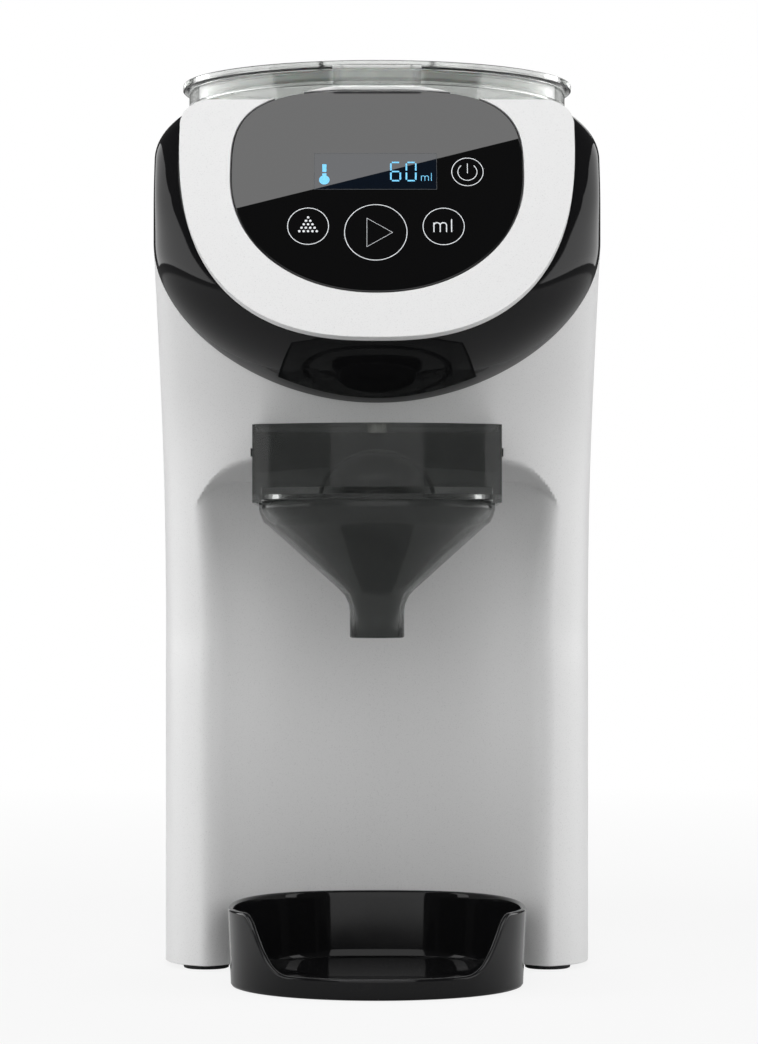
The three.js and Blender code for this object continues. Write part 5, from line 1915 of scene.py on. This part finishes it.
@dataclass
class BottleTray:
    """The gloss black tray with its swooping front lip."""

    radius: float = 50.3
    rear: float = 66.0
    front_power: float = 2.0
    rear_power: float = 2.6
    height: float = 26.4
    lip: float = 7.1
    lip_half: float = 24.0
    lip_ramp: float = 20.3
    lip_curve: float = 2.35
    wall: float = 2.0
    floor: float = 3.0
    taper: float = 1.1
    edge: float = 0.9
    foot: tuple[Flat, ...] = ((1.2, 0), (0.45, 0.25), (0, 0.9))
    bottom: tuple[Flat, ...] = ((0.35, 0.35), (1.2, 0))
    fillet: float = 1.2
    around: int = 192
    levels: int = 14
    edge_steps: int = 8
    tongue_half: float = 15.0
    tongue_low: float = 6.0
    tongue_high: float = 9.0
    tongue_edge: float = 0.5

    def place(self, angle: float, inset: float) -> Flat:
        """A point of the tray's outline.

        Args:
            angle: Turn from the right.
            inset: How far it is moved in.

        Returns:
            Its X and Y.
        """
        behind = math.sin(angle) > 0
        power = self.rear_power if behind else self.front_power
        reach = (self.rear if behind else self.radius) - inset
        x, y = superellipse(angle, self.radius - inset, reach, power)
        return x, AT.axis + y

    def rim(self, x: float, y: float) -> float:
        """The rim's height: low across the front, high along the sides and back.

        Args:
            x: Place across.
            y: Place along the depth.

        Returns:
            The height.
        """
        if y > AT.axis:
            return self.height
        rise = ease(clamp((abs(x) - self.lip_half) / self.lip_ramp) ** self.lip_curve)
        return mix(self.lip, self.height, rise)

    def rows(self) -> list[tuple[float, float, float, float]]:
        """The tray's rings: up the outside, over the rim and down the inside.

        Returns:
            Each ring's inset, its height at the foot, its share of the way from there up to the
            rim, and how far it lies over that.
        """
        _, foot_top = self.foot[-1]
        inner = self.wall + self.taper
        rows = [(self.taper + inset, height, 0, 0) for inset, height in self.foot]
        rows += [(self.taper * (1 - share), foot_top, share, 0)
                 for share in spaced(0, 1, self.levels)[1:]]
        rows += [(self.wall / 2 * (1 - math.cos(turn)), 0, 1, self.edge * math.sin(turn))
                 for turn in spaced(0, math.pi, self.edge_steps)[1:]]
        rows += [(self.wall + self.taper * share, self.floor + self.fillet, 1 - share, 0)
                 for share in spaced(0, 1, self.levels)[1:]]
        return rows + [(inner + inset, self.floor + height, 0, 0) for inset, height in self.bottom]

    def build(self) -> list[Piece]:
        """Models the tray and its tongue.

        Returns:
            The dressed tray.
        """
        angles = spaced(0, 2 * math.pi, self.around)[:-1]
        tops = [self.rim(*self.place(angle, 0)) - self.edge for angle in angles]
        rings = [[(*self.place(angle, inset), mix(low, top, share) + over)
                  for angle, top in zip(angles, tops)]
                 for inset, low, share, over in self.rows()]
        piece = wrapped_skin("gloss_tray", rings)
        end = AT.axis + HOUSING.alcove_radius + 2 * HOUSING.wall
        tongue = slab("tongue", (-self.tongue_half, AT.axis + self.rear - self.wall, self.tongue_low),
                      (self.tongue_half, end, self.tongue_high))
        combine(piece, round_edges(tongue, self.tongue_edge, SMALL_STEPS), Cut.JOIN)
        return [fit(smoothed(piece), Finish.TRIM, Body.TRAY, "bottle_tray")]


@dataclass
class WaterTank:
    """The smoked water tank behind, and its hinged lid."""

    half: float = 74.6
    wall: float = 2.2
    low: float = 124.5
    top: float = 291.5
    radii: Flat = (6.0, 24.0)
    edge: float = 0.5
    valve_hole: float = 11.0
    lid_top: float = 296.0
    lid_edge: float = 0.4
    hinge_radius: float = 2.1
    pin_radius: float = 1.0
    ear_x: float = 60.0
    ear_width: float = 5.0
    skirt_depth: float = 5.0
    notch_half: float = 16.0
    notch_depth: float = 4.0
    notch_height: float = 2.0
    corner_steps: int = 16

    @property
    def hinge(self) -> Flat:
        """Returns the Y and Z of the lid's hinge."""
        return AT.back - self.hinge_radius - AT.gap, self.lid_top - self.hinge_radius

    def part(self, name: str, inset: float, low: float, high: float) -> Piece:
        """A block of the tank's shape.

        Args:
            name: Name of the block.
            inset: How far it is moved in.
            low: Height of its underside.
            high: Height of its top.

        Returns:
            The block.
        """
        outline = rounded_rectangle(self.half, (AT.tank_front, AT.back), self.radii, inset,
                                    self.corner_steps)
        return raised(name, outline, low, high)

    def bore(self, reach: float) -> Piece:
        """Returns the tool that bores the hinge's hole."""
        return cross_pin("bore", self.pin_radius + AT.gap, -reach, reach, *self.hinge)

    def tank(self) -> Piece:
        """Models the open tank with its hinge ears.

        Returns:
            The dressed tank.
        """
        over, radius = AT.over, self.hinge_radius
        y, z = self.hinge
        piece = self.part("smoked_tank", 0, self.low, self.top)
        combine_all(piece, [
            self.part("inside", self.wall, self.low + self.wall, self.top + over),
            rod("valve_hole", self.valve_hole, self.low - over, self.low + over, 0, AT.socket,
                sides=64)])
        for side in SIDES:
            near, far = sorted((side * self.ear_x, side * (self.ear_x + self.ear_width)))
            post = slab("post", (near, y - radius, self.top - 2 * self.wall), (far, y + radius, z))
            combine(post, cross_pin("ear", radius, near, far, y, z), Cut.JOIN)
            combine(piece, post, Cut.JOIN)
        combine(piece, self.part("reach", -AT.gap, 0, AT.deck + over), Cut.KEEP)
        combine(piece, self.bore(self.ear_x + self.ear_width + over))
        round_edges(piece, self.edge, angle=SQUARE_ANGLE)
        return fit(evened(piece), Finish.SMOKE, Body.TANK, "water_tank")

    def lid(self) -> Piece:
        """Models the tank's lid with its skirt, finger notch and hinge barrel.

        Returns:
            The dressed lid.
        """
        over, wide, top = AT.over, AT.half_width, self.lid_top
        y, z = self.hinge
        bottom = self.top + AT.gap
        barrel_end = self.ear_x - AT.gap
        past = self.ear_x + 2 * self.ear_width
        rear = y - self.hinge_radius - AT.gap
        piece = self.part("tank_cover", 0, bottom, top)
        combine(piece, slab("behind", (-wide, y, 0), (wide, AT.back + over, AT.deck + over)))
        inner = self.wall + 2 * AT.gap
        skirt = self.part("skirt", inner, bottom - self.skirt_depth, bottom + AT.gap)
        combine_all(skirt, [self.part("open", inner + self.wall, 0, AT.deck),
                            slab("rear", (-wide, rear - self.wall, 0), (wide, AT.back, bottom))])
        barrel = cross_pin("barrel", self.hinge_radius, -barrel_end, barrel_end, y, z)
        combine_all(piece, [skirt, barrel], Cut.JOIN)
        for side in SIDES:
            near, far = sorted((side * barrel_end, side * past))
            combine(piece, slab("ear_cut", (near, rear, bottom - over), (far, AT.back, top + over)))
        combine(piece, slab("notch", (-self.notch_half, AT.tank_front - over, top - self.notch_height),
                            (self.notch_half, AT.tank_front + self.notch_depth, top + over)))
        combine(piece, self.bore(past))
        round_edges(piece, self.lid_edge, angle=SQUARE_ANGLE)
        return fit(evened(piece), Finish.SMOKE, Body.TANK_CAP, "tank_lid")

    def build(self) -> list[Piece]:
        """Returns the dressed tank and lid."""
        return [self.tank(), self.lid()]


@dataclass
class SmallParts:
    """Feet, deck, cord gland and base plate, and the finishes of the nodes that stay.

    A foot's profile is radius and height, from the floor up over its pad to its stem.
    """

    foot_profile: tuple[Flat, ...] = (
        (0, 0), (7.3, 0), (7.85, 0.25), (8.0, 0.8), (8.0, 1.6), (7.8, 1.8), (3.0, 1.8), (3.0, 5.6),
        (2.6, 6.0))
    feet: tuple[tuple[str, Flat], ...] = (
        ("front_left", (-60, -44)), ("front_right", (60, -44)),
        ("rear_left", (-52, 122)), ("rear_right", (52, 122)))
    edge: float = 0.3
    fine: tuple[tuple[str, str, Finish], ...] = (
        ("top_deck", "container_deck", Finish.WHITE), ("base_plate", "floor_plate", Finish.SATIN),
        ("cord_gland", "cord_gland_sleeve", Finish.RUBBER))
    plain: dict[Finish, tuple[str, ...]] = field(default_factory=lambda: {
        Finish.BOARD: ("touch_board", "power_supply", "control_board"),
        Finish.SATIN: ("display_module", "water_pump"),
        Finish.ALLOY: ("heater_block",),
        Finish.SILICONE: ("tank_socket", "inlet_hose", "heater_hose", "nozzle_hose"),
        Finish.NYLON: ("water_nozzle", "drive_gear", "tank_valve"),
        Finish.STEEL: ("gear_bracket", "motor", "motor_pinion", "drive_shaft", "lid_hinge_pin",
                       "tank_hinge_pin"),
    })

    def build(self) -> list[Piece]:
        """Models the small parts, and gives the nodes that stay their finish.

        Returns:
            The dressed small parts.
        """
        pieces = []
        for place, (x, y) in self.feet:
            name = f"foot_{place}"
            foot = cap_ends(turned(f"{name}_pad", self.foot_profile, x, y, sides=56))
            pieces.append(fit(smoothed(foot), Finish.RUBBER, Body.HOUSING, name))
        for node, name, finish in self.fine:
            piece = evened(round_edges(copied(node, name), self.edge, SMALL_STEPS))
            pieces.append(fit(piece, finish, Body.HOUSING, node))
        for finish, nodes in self.plain.items():
            for node in nodes:
                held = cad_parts[node].data
                held.materials.clear()
                held.materials.append(paint(finish))
        return pieces


@dataclass
class Studio:
    """A pale floor and surround, soft lamps and the camera at the photograph's place.

    The floor, its white reach and the lamps are in metres, the camera's place and the panel's edge
    points in millimetres. A lamp's brightness is that of its face, where 1 is white.
    """

    camera_y: float = -1351.0
    camera_z: float = 137.0
    focal: float = 128.1
    sensor: float = 36.0
    shift: Flat = (2 / 1044, 56 / 1044)
    clip: Flat = (0.05, 60)
    floor_size: float = 12.0
    floor_middle: float = 2.5
    paper: Colour = (0.55, 0.55, 0.55)
    paper_shade: Colour = (0.53, 0.53, 0.53)
    paper_grain: Flat = (3, 2)
    paper_roughness: float = 0.9
    white: tuple[float, ...] = (1, 1, 1, 1)
    # Painted light: over this reach the floor's white glow rises from the near share to full, in place
    # of lamp light that falls off far away.
    white_reach: Flat = (0.25, 1.1)
    white_share: Flat = (0.86, 1)
    mirrored_share: float = 0.1
    room: float = 0.06
    room_mirrored_share: float = 0.02
    target: Point = (0, 0, 0.2)
    front_place: Point = (0, -2.1, 0.76)
    front_target: Point = (0, 0, 0.15)
    front_size: Flat = (2.3, 1.5)
    front_brightness: float = 1.25
    edge_left: Flat = (-48.1, 47.5)
    edge_right: Flat = (46.7, 74.1)
    edge_distance: float = 1300.0
    key_size: Flat = (1.4, 1.2)
    key_brightness: float = 2.5
    side_x: float = 1.2
    side_y: float = 0.35
    side_height: float = 0.55
    side_size: Flat = (1.9, 0.9)
    side_brightness: float = 1.9
    rear_place: Point = (0.3, 1.6, 1.3)
    rear_size: Flat = (1.2, 0.8)
    rear_brightness: float = 1.6

    def camera(self) -> None:
        """Adds the camera, level and square to the machine."""
        data = bpy.data.cameras.new("photograph")
        data.lens = self.focal
        data.sensor_width = self.sensor
        data.sensor_height = self.sensor
        data.sensor_fit = "AUTO"
        data.shift_x, data.shift_y = self.shift
        data.clip_start, data.clip_end = self.clip
        camera = bpy.data.objects.new("photograph", data)
        camera.location = (0, self.camera_y * MM, self.camera_z * MM)
        camera.rotation_euler = (math.pi / 2, 0, 0)
        bpy.context.scene.collection.objects.link(camera)
        bpy.context.scene.camera = camera

    def floor(self) -> None:
        """Adds a matt paper floor that glows white, with painted light that grows with distance from
        the machine where the lamps fall off, and keeps the machine's real shadow near it.
        """
        sheet = Sheet("studio_paper")
        sheet.tinted(sheet.noise(*self.paper_grain), self.paper, self.paper_shade)
        sheet.set({"Roughness": self.paper_roughness})
        # Painted light: the farther the paper lies from the machine, the more it glows white, which
        # stands in for the lamps' falloff.
        away = sheet.node("ShaderNodeVectorMath")
        away.operation = "LENGTH"
        sheet.link(sheet.place, away.inputs[0])
        seen = sheet.ranged(away.outputs["Value"], self.white_reach, self.white_share)
        glow = sheet.node("ShaderNodeEmission", Color=self.white)
        output = next(n for n in sheet.tree.nodes if n.type == "OUTPUT_MATERIAL")
        sheet.show(sheet.shown(self.mirrored_share, seen), sheet.shader.outputs["BSDF"],
                   glow.outputs["Emission"], output)
        bpy.ops.mesh.primitive_plane_add(size=self.floor_size, location=(0, self.floor_middle, 0))
        floor = finished(bpy.context.object, "studio_floor")
        floor.data.materials.append(sheet.material)

    def surround(self) -> None:
        """Adds a dim room that is white to the camera."""
        world = bpy.data.worlds.new("studio_surround")
        bpy.context.scene.world = world
        world.use_nodes = True
        wiring = Wiring(world.node_tree)
        wiring.tree.nodes.clear()
        dim, plain = (wiring.node("ShaderNodeBackground", Color=self.white, Strength=brightness)
                      for brightness in (self.room, 1.0))
        wiring.show(wiring.shown(self.room_mirrored_share), dim.outputs["Background"],
                    plain.outputs["Background"], wiring.node("ShaderNodeOutputWorld"))

    def lamp(self, name: str, turn: Matrix, size: Flat, brightness: float) -> None:
        """Adds one rectangular lamp that shines along its own -Z.

        Args:
            name: Name of the lamp.
            turn: Its place and turn.
            size: Its width and height.
            brightness: Brightness of its face.
        """
        data = bpy.data.lights.new(name, "AREA")
        data.shape = "RECTANGLE"
        data.size, data.size_y = size
        data.energy = WHITE_POWER * size[0] * size[1] * brightness
        lamp = bpy.data.objects.new(name, data)
        lamp.matrix_world = turn
        bpy.context.scene.collection.objects.link(lamp)

    def aimed(self, name: str, place: Point, target: Point, size: Flat, brightness: float) -> None:
        """Adds a lamp at a place, pointed at a target."""
        aim = (Vector(target) - Vector(place)).to_track_quat("-Z", "Y")
        self.lamp(name, Matrix.Translation(place) @ aim.to_matrix().to_4x4(), size, brightness)

    def mirrored(self, place: Flat) -> Vector:
        """What the touch panel mirrors to the camera from one of its points.

        Args:
            place: The point's u and v.

        Returns:
            A place at the lamp's distance, in metres.
        """
        point = Vector(FACE.on(*place, 0))
        ray = (point - Vector((0, self.camera_y, self.camera_z))).normalized()
        normal = Vector((0, -math.cos(FACE.tilt), math.sin(FACE.tilt)))
        return (point + (ray - 2 * ray.dot(normal) * normal) * self.edge_distance) * MM

    def key(self) -> None:
        """Adds the overhead softbox, whose front edge the panel mirrors as a slanting line."""
        left, right = self.mirrored(self.edge_left), self.mirrored(self.edge_right)
        middle = (left + right) / 2
        across = (right - left).normalized()
        inward = (Vector(self.target) - middle).normalized()
        up = across.cross(inward).normalized()
        up = up if up.z > 0 else -up
        facing = across.cross(up).normalized()
        facing = facing if facing.dot(inward) < 0 else -facing
        columns = Matrix((across, facing.cross(across), facing)).transposed().to_4x4()
        centre = Matrix.Translation(middle + up * self.key_size[1] / 2)
        self.lamp("key_softbox", centre @ columns, self.key_size, self.key_brightness)

    def build(self) -> None:
        """Sets the scene's view transform, camera, floor, surround and lamps."""
        bpy.context.scene.view_settings.view_transform = "Standard"
        self.camera()
        self.floor()
        self.surround()
        self.key()
        self.aimed("front_softbox", self.front_place, self.front_target, self.front_size,
                   self.front_brightness)
        for side, name in zip(SIDES, ("left_softbox", "right_softbox")):
            place = (side * self.side_x, self.side_y, self.side_height)
            self.aimed(name, place, (0, self.side_y, self.side_height / 2), self.side_size,
                       self.side_brightness)
        self.aimed("rear_softbox", self.rear_place, self.target, self.rear_size,
                   self.rear_brightness)


def main() -> None:
    """Builds the sub-assemblies in order."""
    logging.basicConfig(level=logging.INFO, format="%(name)s %(message)s")
    Studio().build()
    for part in (HOUSING, FACE, TrimBand(), PanelMarks(), Container(), Funnel(), BottleTray(),
                 WaterTank(), SmallParts()):
        pieces = part.build()
        log.info("%s: %d pieces", type(part).__name__, len(pieces))


if __name__ == "__main__":
    main()
